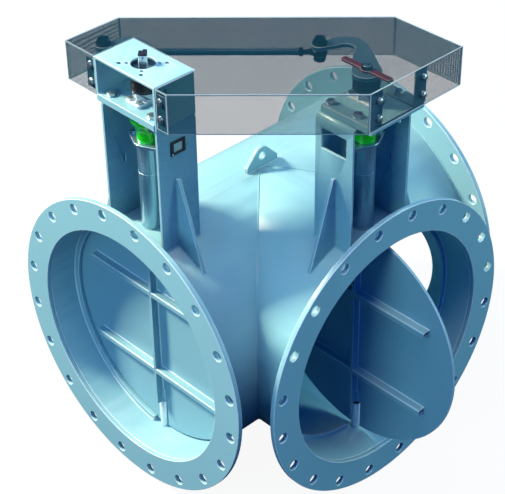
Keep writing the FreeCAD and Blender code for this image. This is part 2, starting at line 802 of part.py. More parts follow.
def slotted(leaf, clips):
    reach = clip_slot_l / 2 - clip_bolt_r
    for place, inward in clips:
        for dz in (-reach, reach):
            start = place + Vector(0, 0, dz)
            leaf = leaf.cut(Part.makeCylinder(clip_bolt_r + fit_gap, bracket_leg / 2, start, inward))
        across = Vector(-inward.y, inward.x, 0) * (clip_bolt_r + fit_gap)
        low = place - Vector(0, 0, reach)
        sides = [low - across, low + across, low + across + inward * (bracket_leg / 2),
                 low - across + inward * (bracket_leg / 2)]
        leaf = leaf.cut(prism([tuple(p) for p in sides], (0, 0, 2 * reach)))
    return leaf


def console_bracket(sign):
    front_y = hood_outline()[0][1] + sheet_t
    z0, z1 = hood_foot_z + bracket_edge, hood_top_z - bracket_edge
    x0, x1 = console_top_half_u, console_top_half_u + bracket_leg
    leaf = block(x0, x1, front_y, front_y + bracket_t, z0, z1)
    web = block(x0, x0 + bracket_t, front_y, front_y + bracket_leg, z0, z1)
    angle = slotted(leaf, console_clips(1)).fuse(web).removeSplitter()
    return angle if sign > 0 else angle.mirror(Vector(0, 0, 0), Vector(1, 0, 0))


def tower_bracket(centre_y):
    wall_x = hood_outline()[3][0] - sheet_t
    y0, y1 = centre_y - bracket_w / 2, centre_y + bracket_w / 2
    leaf = block(wall_x - bracket_t, wall_x, y0, y1, plate_top_z, hood_top_z - sheet_t)
    foot = block(valve_offset - foot_reach, wall_x, max(y0, -side_plate_half_u),
                 min(y1, side_plate_half_u), plate_top_z, plate_top_z + bracket_t)
    for x, y in corners(plate_bolt_v, plate_bolt_u):
        foot = foot.cut(cylinder(plate_bolt_r + fit_gap, plate_top_z - 1,
                                 plate_top_z + bracket_t + 1, valve_offset + x, y))
    return slotted(leaf, tower_clips(centre_y)).fuse(foot).removeSplitter()


def clip_bolt(place, inward):
    head_h = 2 * clip_bolt_r * bolt_head_share
    body = hexagon(clip_bolt_af, 0, head_h).fuse(
        cylinder(clip_bolt_r, -sheet_t - bracket_t - 0.5, 0)).removeSplitter()
    body.Placement = FreeCAD.Placement(place, FreeCAD.Rotation(Vector(0, 0, 1), inward * -1))
    return body


# Bare nameplate place: a dark frame with a pale blank in it
def nameplate():
    x0 = tower_half_u
    def plate(w, h, a, b):
        return block(x0 + a, x0 + b, name_v - w / 2, name_v + w / 2,
                     name_z - h / 2, name_z + h / 2)
    frame = plate(name_frame_w, name_frame_h, 0, name_frame_t)
    frame = frame.cut(plate(name_face_w, name_face_h, -1, name_frame_t + 1))
    return frame, plate(name_face_w, name_face_h, 0, name_face_t)


def save_ducts():
    save("run_duct", run_duct())
    save("branch_duct", branch_duct())
    save("common_port_flange", moved(port_flange(), 0, port_reach))
    save("front_port_flange", moved(turned(port_flange(), 180), 0, -port_reach))
    save("side_port_flange", moved(turned(port_flange(), -90), port_reach, 0))
    save("lifting_lug", lifting_lug())


def save_stops():
    save("front_left_stop", front(half_seat(-1)))
    save("front_right_stop", front(half_seat(1)))
    # The side valve's stops are a mirror image in the plane between the two valves
    save("side_inner_stop", side(half_seat(-1).mirror(Vector(0, 0, 0), Vector(1, -1, 0))))
    save("side_outer_stop", side(half_seat(1).mirror(Vector(0, 0, 0), Vector(1, -1, 0))))


def save_towers():
    save("front_tower", front(tower_shell()))
    save("side_tower", side_fixed(side_tower()))
    save("tower_gussets", *[place(g) for place in (front, side_fixed) for g in gussets()])
    save("front_shaft_tube", front(shaft_tube()))
    save("side_shaft_tube", side_fixed(shaft_tube()))
    save("tube_bushes", front(tube_bush()), side_fixed(tube_bush()))
    save("front_gland", front(gland()))
    save("side_gland", side_fixed(gland()))
    save("gland_bolts", *[place(b) for place in (front, side_fixed) for b in gland_bolts()])
    half_v = front_plate_half_v
    save("front_top_plate", front(top_plate(front_plate_half_u, half_v, half_v)))
    save("side_top_plate", side_fixed(top_plate(side_plate_half_u, side_plate_out_v,
                                                side_plate_in_v)))
    save("top_plate_bolts", *([front(b) for b in plate_bolts(plate_top_z)]
                              + [side_fixed(b) for b in plate_bolts(plate_top_z + bracket_t)]))
    save("actuator_console", front(actuator_console()))
    frame, face = nameplate()
    save("nameplate_frame", front(frame))
    save("nameplate_blank", front(face))


def save_bearings():
    save("bearing_bases", front(bearing_base()), side_fixed(bearing_base()))
    save("bearing_base_bolts", *[place(b) for place in (front, side_fixed) for b in base_bolts()])
    save("front_bearing_housing", front(bearing_housing()))
    save("side_bearing_housing", side_fixed(bearing_housing()))
    save("lower_pivots", front(lower_pivot()), side_fixed(lower_pivot()))
    save("thrust_washers", front(thrust_washer()), side_fixed(thrust_washer()))


def save_valve(name, place, shaft):
    save(name + "_shaft", place(shaft))
    save(name + "_disc", place(disc()))
    save(name + "_disc_bars", *[place(b) for b in disc_bars()])
    save(name + "_lever", place(lever()))
    save(name + "_lever_pin", *[place(b) for b in pin_bolt()])
    save(name + "_pin_washers", *[place(b) for b in pin_washers()])


def save_linkage():
    save_valve("front", front, front_shaft())
    save_valve("side", side, side_shaft())
    save("square_cap", front(square_cap()))
    save("pointer", side(pointer()))
    nut_z = lever_top_z + pointer_t
    save("pointer_nut", side(nut(thread_r, pin_af, nut_z, nut_z + pointer_nut_h)))
    save("tie_rod", rod_to_place(tie_rod()))
    save("rod_ends", rod_to_place(rod_end(running_gap)),
         rod_to_place(other_end(rod_end(open_pivot_gap))))
    save("rod_lock_nuts", rod_to_place(lock_nut()), rod_to_place(other_end(lock_nut())))


def save_hood():
    left_end, back, right_end, tower_side, diagonal, console_side = hood_walls()
    console_side_clips = console_clips(-1) + console_clips(1)
    tower_side_clips = tower_clips(near_bracket_y) + tower_clips(far_bracket_y)
    save("hood_top_panel", hood_top())
    save("hood_left_end_wall", left_end)
    save("hood_back_wall", back)
    save("hood_right_end_wall", right_end)
    save("hood_tower_wall", drilled(tower_side, tower_side_clips))
    save("hood_diagonal_wall", diagonal)
    save("hood_console_wall", drilled(console_side, console_side_clips))
    save("console_brackets", console_bracket(-1), console_bracket(1))
    save("tower_brackets", tower_bracket(near_bracket_y), tower_bracket(far_bracket_y))
    save("hood_bolts", *[clip_bolt(*clip) for clip in console_side_clips + tower_side_clips])


save_ducts()
save_stops()
save_towers()
save_bearings()
save_linkage()
save_hood()
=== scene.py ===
"""Visual model of a three-way butterfly damper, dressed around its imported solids.

Everything is in metres in the part's own frame: origin at the centre of the common port's
flange face, +Y out of that port, +X along the branch to the side port, +Z up the shafts.
"""

import json
import logging
import math
from dataclasses import dataclass, replace
from enum import Enum
from typing import Callable, Optional, Sequence, Union

import bmesh
import bpy
from mathutils import Matrix, Vector, noise


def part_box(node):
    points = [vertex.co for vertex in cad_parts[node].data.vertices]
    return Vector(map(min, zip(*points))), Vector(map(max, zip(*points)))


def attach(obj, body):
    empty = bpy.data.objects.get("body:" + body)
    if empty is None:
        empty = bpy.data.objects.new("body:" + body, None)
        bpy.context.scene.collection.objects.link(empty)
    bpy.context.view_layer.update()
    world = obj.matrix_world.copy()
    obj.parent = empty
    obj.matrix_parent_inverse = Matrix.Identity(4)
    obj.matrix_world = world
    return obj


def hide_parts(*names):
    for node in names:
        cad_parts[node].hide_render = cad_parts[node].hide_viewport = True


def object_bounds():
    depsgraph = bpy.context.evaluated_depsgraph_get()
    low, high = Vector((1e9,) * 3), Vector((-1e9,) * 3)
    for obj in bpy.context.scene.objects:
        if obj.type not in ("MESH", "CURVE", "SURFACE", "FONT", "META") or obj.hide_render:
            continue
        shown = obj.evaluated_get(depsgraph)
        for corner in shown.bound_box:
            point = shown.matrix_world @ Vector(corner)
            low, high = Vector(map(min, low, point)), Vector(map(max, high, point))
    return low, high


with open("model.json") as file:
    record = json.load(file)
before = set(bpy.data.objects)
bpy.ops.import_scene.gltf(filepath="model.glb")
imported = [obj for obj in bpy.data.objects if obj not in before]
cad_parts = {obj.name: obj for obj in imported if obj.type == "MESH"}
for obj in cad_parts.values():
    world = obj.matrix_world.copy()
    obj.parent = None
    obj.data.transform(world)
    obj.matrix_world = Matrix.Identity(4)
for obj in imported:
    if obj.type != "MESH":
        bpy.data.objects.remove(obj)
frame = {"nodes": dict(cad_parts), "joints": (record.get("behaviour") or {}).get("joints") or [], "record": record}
CAD_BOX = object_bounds()

LOG = logging.getLogger("damper")
MERGE = 2e-6                    # packed vertices nearer than this are one
FLAT = math.radians(0.4)        # packed faces that bend less than this are one
Colour = tuple[float, float, float, float]
Triple = tuple[float, float, float]
Point = tuple[float, float]
Path = Callable[[float], Vector]
Link = bpy.types.NodeSocket
Value = Union[Link, float, Sequence[float]]


def tint(red: int, green: int, blue: int) -> Colour:
    """Turns a colour as a screen shows it into the linear values that a shader takes.

    Args:
        red: The red channel, 0 to 255.
        green: The green channel.
        blue: The blue channel.

    Returns:
        The linear colour, opaque.
    """
    def linear(level: int) -> float:
        """Undoes the screen's gamma for one channel."""
        share = level / 255
        return share / 12.92 if share <= 0.04045 else ((share + 0.055) / 1.055) ** 2.4
    return linear(red), linear(green), linear(blue), 1.0


def paler(colour: Colour, share: float) -> Colour:
    """Moves a linear colour towards white by a share of the way."""
    red, green, blue = (c + (1 - c) * share for c in colour[:3])
    return red, green, blue, 1.0


class Wiring:
    """Adds nodes to one node tree and joins them up."""

    def __init__(self, tree: bpy.types.NodeTree) -> None:
        """Takes the tree."""
        self.tree = tree

    def fill(self, made: bpy.types.Node, inputs: dict) -> None:
        """Sets a node's inputs, each by its name or number, or links them to a socket.

        Args:
            made: The node.
            inputs: Input names or numbers with their values or sockets.
        """
        for key, value in inputs.items():
            if isinstance(value, Link):
                self.tree.links.new(value, made.inputs[key])
            else:
                made.inputs[key].default_value = value

    def add(self, kind: str, inputs: Optional[dict] = None,
            **settings: object) -> bpy.types.Node:
        """Adds one node.

        Args:
            kind: The node's type without its ShaderNode prefix.
            inputs: Input names or numbers, each with a value or with a socket to link from.
            **settings: The node's own properties, set before its inputs.

        Returns:
            The new node.
        """
        made = self.tree.nodes.new("ShaderNode" + kind)
        for key, value in settings.items():
            setattr(made, key, value)
        self.fill(made, inputs or {})
        return made

    def math(self, operation: str, *values: Value) -> Link:
        """Works on numbers."""
        return self.add("Math", dict(enumerate(values)), operation=operation).outputs[0]

    def vector(self, operation: str, *values: Value) -> Link:
        """Works on vectors."""
        return self.add("VectorMath", dict(enumerate(values)), operation=operation).outputs[0]

    def scaled(self, vector: Value, factor: Value) -> Link:
        """Multiplies a vector or a colour by a number."""
        return self.add("VectorMath", {0: vector, "Scale": factor}, operation="SCALE").outputs[0]

    def cloud(self, place: Value, scale: Value, detail: float) -> Link:
        """Adds cloudy noise from 0 to 1."""
        return self.add("TexNoise", {"Vector": place, "Scale": scale,
                                     "Detail": detail}).outputs["Fac"]

    def spread(self, value: Link, low: float, high: float) -> Link:
        """Stretches 0 to 1 over another range."""
        return self.add("MapRange", {"Value": value, "To Min": low, "To Max": high}).outputs[0]

    def share(self, value: Link, low: float, high: float) -> Link:
        """Turns a range into 0 to 1."""
        return self.add("MapRange", {"Value": value, "From Min": low,
                                     "From Max": high}).outputs[0]

    def bump(self, height: Link, strength: float, distance: float) -> Link:
        """Turns a height into a normal."""
        return self.add("Bump", {"Height": height, "Strength": strength,
                                 "Distance": distance}).outputs["Normal"]

    def effect(self, effect: "Effect", *values: Value) -> Link:
        """Adds a shared effect, its inputs in order, and gives what it puts out."""
        return self.add("Group", dict(enumerate(values)), node_tree=effect.tree()).outputs[0]


class Kind(Enum):
    """Kinds of socket that a shared effect takes in or puts out."""

    COLOUR = "NodeSocketColor"
    VALUE = "NodeSocketFloat"
    VECTOR = "NodeSocketVector"


@dataclass(frozen=True)
class Effect:
    """A shader node group that several materials share, built on its first use."""

    wire: Callable[[Wiring, dict], Link]
    inputs: dict[str, Kind]
    output: Kind

    def tree(self) -> bpy.types.NodeTree:
        """Gives the group, named after the function that wires it.

        Returns:
            The group.
        """
        name = self.wire.__name__
        made = bpy.data.node_groups.get(name)
        if made is None:
            made = bpy.data.node_groups.new(name, "ShaderNodeTree")
            for label, kind in self.inputs.items():
                made.interface.new_socket(label, in_out="INPUT", socket_type=kind.value)
            made.interface.new_socket("Result", in_out="OUTPUT", socket_type=self.output.value)
            given = made.nodes.new("NodeGroupInput").outputs
            out = made.nodes.new("NodeGroupOutput").inputs[0]
            made.links.new(self.wire(Wiring(made), given), out)
        return made


def tone_drift(w: Wiring, given: dict) -> Link:
    """Slow, uneven lightening and darkening of a sprayed or cast surface.

    Args:
        w: The group's wiring.
        given: The group's inputs.

    Returns:
        What the group puts out.
    """
    drift = w.math("SUBTRACT", w.cloud(given["Vector"], given["Scale"], 3.0), 0.5)
    return w.scaled(given["Color"], w.math("MULTIPLY_ADD", drift, given["Amount"], 1.0))


def spray_texture(w: Wiring, given: dict) -> Link:
    """Fine orange peel of sprayed paint over a slower ripple, as a height.

    Args:
        w: The group's wiring.
        given: The group's inputs.

    Returns:
        What the group puts out.
    """
    fine = w.cloud(given["Vector"], given["Scale"], 1.0)
    slow = w.cloud(given["Vector"], w.math("MULTIPLY", given["Scale"], 0.12), 2.0)
    return w.math("MULTIPLY_ADD", slow, 3.0, fine)


def settled_dust(w: Wiring, given: dict) -> Link:
    """Thin, patchy dust on whatever faces up.

    Args:
        w: The group's wiring.
        given: The group's inputs.

    Returns:
        What the group puts out.
    """
    facing = w.add("SeparateXYZ", {0: w.add("NewGeometry").outputs["Normal"]}).outputs["Z"]
    patch = w.share(w.cloud(given["Vector"], 9.0, 4.0), 0.35, 0.7)
    both = w.math("MULTIPLY", w.share(facing, 0.55, 1.0), patch)
    return w.add("Mix", {0: w.math("MULTIPLY", both, given["Amount"]), 6: given["Color"],
                         7: given["Dust"]}, data_type="RGBA").outputs[2]


def tool_marks(w: Wiring, given: dict) -> Link:
    """Fine lines left by turning, drawing or grinding, as a value from 0 to 1."""
    return w.cloud(w.vector("MULTIPLY", given["Vector"], given["Density"]), 1.0, 3.0)


def punched_holes(w: Wiring, given: dict) -> Link:
    """Staggered round holes of a perforated sheet: 1 on the metal and 0 in a hole.

    Args:
        w: The group's wiring.
        given: The group's inputs.

    Returns:
        What the group puts out.
    """
    cell = Vector((1.0, math.sqrt(3), 1.0))
    grid = w.vector("DIVIDE", w.scaled(given["Vector"], given["Density"]), cell)
    reach = []
    for step in (0.0, 0.5):
        part = w.vector("FRACTION", w.vector("ADD", grid, (step, step, 0.0)))
        middle = w.vector("SUBTRACT", part, (0.5, 0.5, 0.0))
        sized = w.vector("MULTIPLY", middle, (cell.x, cell.y, 0.0))
        reach.append(w.add("VectorMath", {0: sized}, operation="LENGTH").outputs["Value"])
    return w.math("GREATER_THAN", w.math("MINIMUM", *reach), given["Radius"])


TONE_DRIFT = Effect(tone_drift, {"Vector": Kind.VECTOR, "Color": Kind.COLOUR,
                                 "Scale": Kind.VALUE, "Amount": Kind.VALUE}, Kind.COLOUR)
SPRAY_TEXTURE = Effect(spray_texture, {"Vector": Kind.VECTOR, "Scale": Kind.VALUE}, Kind.VALUE)
SETTLED_DUST = Effect(settled_dust, {"Vector": Kind.VECTOR, "Color": Kind.COLOUR,
                                     "Dust": Kind.COLOUR, "Amount": Kind.VALUE}, Kind.COLOUR)
TOOL_MARKS = Effect(tool_marks, {"Vector": Kind.VECTOR, "Density": Kind.VECTOR}, Kind.VALUE)
PUNCHED_HOLES = Effect(punched_holes, {"Vector": Kind.VECTOR, "Density": Kind.VALUE,
                                       "Radius": Kind.VALUE}, Kind.VALUE)


class Finish:
    """Anything that can dress a surface; subclasses say how."""

    name: str

    def inputs(self, w: Wiring) -> dict:
        """Wires the surface and gives the shader's inputs."""
        raise NotImplementedError

    def edge(self) -> "Finish":
        """The finish as it runs over a softened edge: the same one."""
        return self

    def material(self) -> bpy.types.Material:
        """Gives the material, made on its first use.

        Returns:
            The material.
        """
        made = bpy.data.materials.get(self.name)
        if made is None:
            made = bpy.data.materials.new(self.name)
            made.use_nodes = True
            w = Wiring(made.node_tree)
            w.fill(made.node_tree.nodes["Principled BSDF"], self.inputs(w))
        return made


@dataclass(frozen=True)
class Paint(Finish):
    """Gloss paint sprayed on steel, with orange peel, slow tone drift and a little dust."""

    name: str
    colour: Colour
    roughness: float = 0.30
    shine: float = 0.30
    drift: float = 0.10
    drift_scale: float = 3.0
    peel_scale: float = 420.0
    peel_height: float = 0.00004
    dust: float = 0.10
    dust_colour: Colour = tint(205, 214, 214)

    def edge(self) -> "Paint":
        """The same paint, paler and shinier, where it runs over a softened edge; the paler colour is a painted
        highlight.
        """
        return replace(self, name=self.name + "_edge", colour=paler(self.colour, 0.45),
                       roughness=self.roughness * 0.8, shine=self.shine + 0.15)

    def inputs(self, w: Wiring) -> dict:
        """Wires the paint.

        Args:
            w: The material's wiring.

        Returns:
            The shader's inputs.
        """
        place = w.add("TexCoord").outputs["Object"]
        toned = w.effect(TONE_DRIFT, place, self.colour, self.drift_scale, self.drift)
        dusty = w.effect(SETTLED_DUST, place, toned, self.dust_colour, self.dust)
        peel = w.effect(SPRAY_TEXTURE, place, self.peel_scale)
        haze = w.cloud(place, 14.0, 3.0)
        return {"Base Color": dusty, "Specular IOR Level": self.shine,
                "Roughness": w.spread(haze, self.roughness - 0.04, self.roughness + 0.08),
                "Normal": w.bump(peel, 0.6, self.peel_height)}


@dataclass(frozen=True)
class Metal(Finish):
    """Bare or plated metal with fine tool marks along one direction."""

    name: str
    colour: Colour
    roughness: float = 0.28
    metallic: float = 1.0
    density: Triple = (900.0, 900.0, 12.0)
    mark_height: float = 0.00003
    drift: float = 0.16

    def inputs(self, w: Wiring) -> dict:
        """Wires the metal.

        Args:
            w: The material's wiring.

        Returns:
            The shader's inputs.
        """
        place = w.add("TexCoord").outputs["Object"]
        marks = w.effect(TOOL_MARKS, place, self.density)
        return {"Base Color": w.effect(TONE_DRIFT, place, self.colour, 40.0, self.drift),
                "Metallic": self.metallic,
                "Roughness": w.spread(marks, max(0.05, self.roughness - 0.10),
                                      self.roughness + 0.12),
                "Normal": w.bump(marks, 0.5, self.mark_height)}


@dataclass(frozen=True)
class Moulded(Finish):
    """Moulded plastic or black casting with a faint pebbled skin."""

    name: str
    colour: Colour
    roughness: float = 0.35
    shine: float = 0.5
    coat: float = 0.0
    skin_scale: float = 700.0
    skin_height: float = 0.00004

    def inputs(self, w: Wiring) -> dict:
        """Wires the plastic.

        Args:
            w: The material's wiring.

        Returns:
            The shader's inputs.
        """
        place = w.add("TexCoord").outputs["Object"]
        skin = w.effect(SPRAY_TEXTURE, place, self.skin_scale)
        haze = w.cloud(place, 60.0, 2.0)
        return {"Base Color": w.effect(TONE_DRIFT, place, self.colour, 25.0, 0.18),
                "Roughness": w.spread(haze, max(0.03, self.roughness - 0.05),
                                      self.roughness + 0.08),
                "Specular IOR Level": self.shine, "Coat Weight": self.coat,
                "Coat Roughness": 0.06, "Normal": w.bump(skin, 0.6, self.skin_height)}


@dataclass(frozen=True)
class Perforated(Finish):
    """Punched sheet: grey metal with staggered holes that light and sight pass through."""

    name: str
    colour: Colour
    hole_share: float           # hole diameter as a share of the pitch
    pitch: float = 0.0018
    roughness: float = 0.5
    shadow_share: float = 0.30  # how much of the sheet's shade reaches what lies under it

    def inputs(self, w: Wiring) -> dict:
        """Wires the sheet.

        Args:
            w: The material's wiring.

        Returns:
            The shader's inputs.
        """
        places = w.add("TexCoord").outputs
        holes = w.effect(PUNCHED_HOLES, places["UV"], 1 / self.pitch, self.hole_share / 2)
        marks = w.effect(TOOL_MARKS, places["Object"], (60.0, 60.0, 900.0))
        shadow = w.add("LightPath").outputs["Is Shadow Ray"]
        lit = w.math("MULTIPLY_ADD", shadow, self.shadow_share - 1.0, 1.0)
        return {"Base Color": w.effect(TONE_DRIFT, places["Object"], self.colour, 9.0, 0.35),
                "Metallic": 0.0,
                "Roughness": w.spread(marks, self.roughness - 0.08, self.roughness + 0.12),
                "Specular IOR Level": 0.03, "Alpha": w.math("MULTIPLY", holes, lit)}


DUCT_PAINT = Paint("duct_paint_gloss", tint(128, 176, 187))
FLANGE_PAINT = Paint("flange_paint_gloss", tint(127, 174, 185))
STOP_PAINT = Paint("stop_paint_gloss", tint(124, 172, 184), dust=0.04)
TOWER_PAINT = Paint("tower_paint_gloss", tint(120, 169, 182), roughness=0.26)
CONSOLE_PAINT = Paint("console_paint_gloss", tint(130, 178, 188))
DISC_PAINT = Paint("disc_paint_gloss", tint(120, 168, 181), roughness=0.34)
# Dark paint on the console brackets: painted shade for the hood's shadow they stand in.
BRACKET_PAINTED_SHADE = Paint("bracket_painted_shade_gloss", tint(36, 60, 78), roughness=0.28)
ANGLE_PAINT = Paint("angle_paint_gloss", tint(96, 138, 154), roughness=0.28)
LEVER_PAINT = Paint("lever_paint_satin", tint(64, 100, 126), roughness=0.38)
ROD_PAINT = Paint("rod_paint_satin", tint(44, 80, 106), roughness=0.34)
POINTER_PAINT = Paint("pointer_red_satin", tint(122, 2, 5), roughness=0.6, dust=0.0)
TUBE_STEEL = Metal("tube_steel_drawn", tint(150, 186, 208), 0.30, 0.85)
# Paler steel for the tubes' softened edges and seam rings: a painted highlight.
TUBE_HIGHLIGHT = Metal("tube_steel_painted_highlight", tint(206, 230, 240), 0.30, 0.6)
BUSH_BRONZE = Metal("bush_bronze_turned", tint(176, 142, 92), 0.3, density=(60.0, 60.0, 1500.0))
ZINC = Metal("zinc_plate", tint(186, 200, 206), 0.34, density=(500.0, 500.0, 500.0))
BLACK_OXIDE = Metal("black_oxide", tint(44, 52, 60), 0.36, density=(500.0, 500.0, 700.0))
BASE_CASTING = Paint("base_casting_grey", tint(176, 192, 200), roughness=0.36, peel_scale=300.0,
                     peel_height=0.00012, drift=0.2, drift_scale=30.0)
HOUSING_BLACK = Moulded("housing_black_satin", tint(22, 22, 26), 0.38)
SHAFT_STEEL = Metal("shaft_steel_turned", tint(190, 204, 212), 0.26, density=(50.0, 50.0, 1600.0))
PIVOT_STEEL = Metal("pivot_steel_turned", tint(232, 242, 244), 0.34, 0.5, (50.0, 50.0, 1600.0))
WASHER_PLASTIC = Moulded("washer_plastic_natural", tint(226, 230, 228), 0.4)
GLAND_GREEN = Moulded("gland_green_gloss", tint(22, 196, 16), 0.10, coat=1.0)
CAP_BLACK = Moulded("cap_black_satin", tint(24, 25, 28), 0.4)
# The hood sheets are one metal; their tints differ by panel as painted light and shade, darkest on the top panel
# and palest on the far walls.
HOOD_TOP = Perforated("hood_sheet_top", tint(5, 38, 52), hole_share=0.695)
HOOD_FAR = Perforated("hood_sheet_far", tint(18, 86, 114), hole_share=0.66)
HOOD_WALL = Perforated("hood_sheet_wall", tint(24, 66, 82), hole_share=0.75)
HOOD_MARGIN = Paint("hood_sheet_margin", tint(140, 158, 164), roughness=0.34, dust=0.0)
# Pale paint on the hood's folds: a painted highlight along each fold.
HOOD_FOLD_HIGHLIGHT = Paint("hood_fold_painted_highlight", tint(168, 180, 184), roughness=0.3, dust=0.0)
PLATE_BLACK = Moulded("nameplate_frame_black", tint(26, 28, 32), 0.42)
PLATE_PALE = Metal("nameplate_blank_satin", tint(206, 214, 216), 0.38,
                   density=(900.0, 30.0, 900.0))


class Body(Enum):
    """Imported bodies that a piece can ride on."""

    BASE = "base"
    FRONT = "front_valve"
    SIDE = "side_valve"
    ROD = "tie_rod_body"


UNIT_X, UNIT_Y, UNIT_Z = (Vector(row) for row in Matrix.Identity(3))
CORNERS = ((-1, -1), (-1, 1), (1, -1), (1, 1))      # signs of four places about an axis
CURVED = (math.radians(0.5), math.radians(30))      # bends between these belong to a curve
CROWN = 0.475                   # a head's crown radius over its size across the flats
SHARP = math.radians(32)        # edges of new pieces that bend more are sharp
STAND = 0.0004                  # from a wall to the middle of its weld
SUNK = 0.3                      # the same, as a share of the bead's radius
ROUGH = 90.0                    # how fast a weld's thickness wanders, per metre


def moved(x: float = 0.0, y: float = 0.0, z: float = 0.0) -> Matrix:
    """Gives a move."""
    return Matrix.Translation((x, y, z))


def turned(degrees: float, axis: str = "Z") -> Matrix:
    """Gives a turn about an axis."""
    return Matrix.Rotation(math.radians(degrees), 4, axis)


def put_in_scene(name: str, data: bpy.types.ID) -> bpy.types.Object:
    """Makes an object of a mesh, a lamp or a camera and links it to the scene.

    Args:
        name: The object's name.
        data: The mesh, lamp or camera.

    Returns:
        The object.
    """
    made = bpy.data.objects.new(name, data)
    bpy.context.scene.collection.objects.link(made)
    return made


def add_piece(name: str, bm: bmesh.types.BMesh, *finishes: Finish, body: Body = Body.BASE,
              slot: str = "", replaced: str = "") -> bpy.types.Object:
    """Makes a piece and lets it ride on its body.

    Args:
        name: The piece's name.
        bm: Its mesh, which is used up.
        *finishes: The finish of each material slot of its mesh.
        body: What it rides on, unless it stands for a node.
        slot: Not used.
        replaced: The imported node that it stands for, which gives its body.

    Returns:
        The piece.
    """
    mesh = bpy.data.meshes.new(name)
    bm.to_mesh(mesh)
    bm.free()
    for finish in finishes:
        mesh.materials.append(finish.material())
    if replaced:
        record = frame["record"]
        body = Body(next(key for key, nodes in record["behaviour"]["bodies"].items()
                         if replaced in nodes))
    piece = put_in_scene(name, mesh)
    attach(piece, body.value)
    if replaced:
        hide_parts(replaced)
    LOG.info("piece %s on %s: %d faces", name, body.value, len(mesh.polygons))
    return piece


class Shape:
    """A mesh in the making, put together from solids that are each made about local Z."""

    def __init__(self) -> None:
        """Starts empty."""
        self.bm = bmesh.new()

    def add(self, solid: bmesh.types.BMesh, place: Matrix, slot: int = 0) -> None:
        """Turns a solid's faces outwards, puts it in its place and joins it in.

        Args:
            solid: The solid, which is used up.
            place: Where it goes.
            slot: The material slot of its faces.
        """
        bmesh.ops.remove_doubles(solid, verts=solid.verts, dist=1e-6)
        bmesh.ops.recalc_face_normals(solid, faces=solid.faces)
        bmesh.ops.transform(solid, matrix=place, verts=solid.verts)
        for face in solid.faces:
            face.material_index = slot
        carrier = bpy.data.meshes.new("carrier")
        solid.to_mesh(carrier)
        solid.free()
        self.bm.from_mesh(carrier)
        bpy.data.meshes.remove(carrier)

    def add_bead(self, path: Path, length: float, radius: float, closed: bool = False,
                 scale_pitch: float = 0.0032, lift: float = 0.16) -> None:
        """Lays a weld bead along a path, with the ripple of its scales.

        Args:
            path: Gives a point for each share, 0 to 1, of the way.
            length: The path's length.
            radius: The bead's radius.
            closed: Whether the path comes back to its start.
            scale_pitch: From one scale of the weld to the next.
            lift: How much the scales swell, as a share of the radius.
        """
        count = max(6, int(length / (scale_pitch / 2)))
        curve = bpy.data.curves.new("bead", "CURVE")
        curve.dimensions = "3D"
        curve.bevel_depth = radius
        curve.bevel_resolution = 1
        curve.use_fill_caps = not closed
        line = curve.splines.new("POLY")
        line.points.add(count - 1)
        for i, point in enumerate(line.points):
            place = path(i / (count if closed else count - 1))
            point.co = (*place, 1.0)
            drift = noise.noise(place * ROUGH)
            point.radius = 1.0 + lift * (0.5 - (i % 2)) + 0.5 * lift * drift
        line.use_cyclic_u = closed
        carrier = bpy.data.objects.new("bead", curve)
        mesh = bpy.data.meshes.new_from_object(carrier)
        self.bm.from_mesh(mesh)
        bpy.data.objects.remove(carrier)
        bpy.data.curves.remove(curve)
        bpy.data.meshes.remove(mesh)

    def add_line(self, start: Triple, end: Triple, radius: float, **look: float) -> None:
        """Lays a straight bead from one point to another."""
        first, last = Vector(start), Vector(end)
        self.add_bead(lambda t: first.lerp(last, t), (last - first).length, radius, **look)

    def finish(self, name: str, *finishes: Finish, body: Body = Body.BASE, slot: str = "",
               replaced: str = "") -> None:
        """Makes the piece, shaded smooth between its sharp edges.

        Args:
            name: The piece's name.
            *finishes: The finish of each material slot of its mesh.
            body: What it rides on, unless it stands for a node.
            slot: Not used; it is passed on to add_piece, which does not read it.
            replaced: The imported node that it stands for.
        """
        for face in self.bm.faces:
            face.smooth = True
        piece = add_piece(name, self.bm, *finishes, body=body, slot=slot, replaced=replaced)
        piece.data.set_sharp_from_angle(angle=SHARP)


def lathe(profile: Sequence[Point], steps: int) -> bmesh.types.BMesh:
    """Spins a closed outline of (radius, height) points about Z.

    Args:
        profile: The outline, in order.
        steps: How many steps the turn has.

    Returns:
        The solid.
    """
    bm = bmesh.new()
    verts = [bm.verts.new((r, 0.0, z)) for r, z in profile]
    edges = [bm.edges.new(pair) for pair in zip(verts, verts[1:] + verts[:1])]
    bmesh.ops.spin(bm, geom=verts + edges, cent=(0, 0, 0), axis=(0, 0, 1), dvec=(0, 0, 0),
                   angle=math.tau, steps=steps, use_merge=True)
    return bm


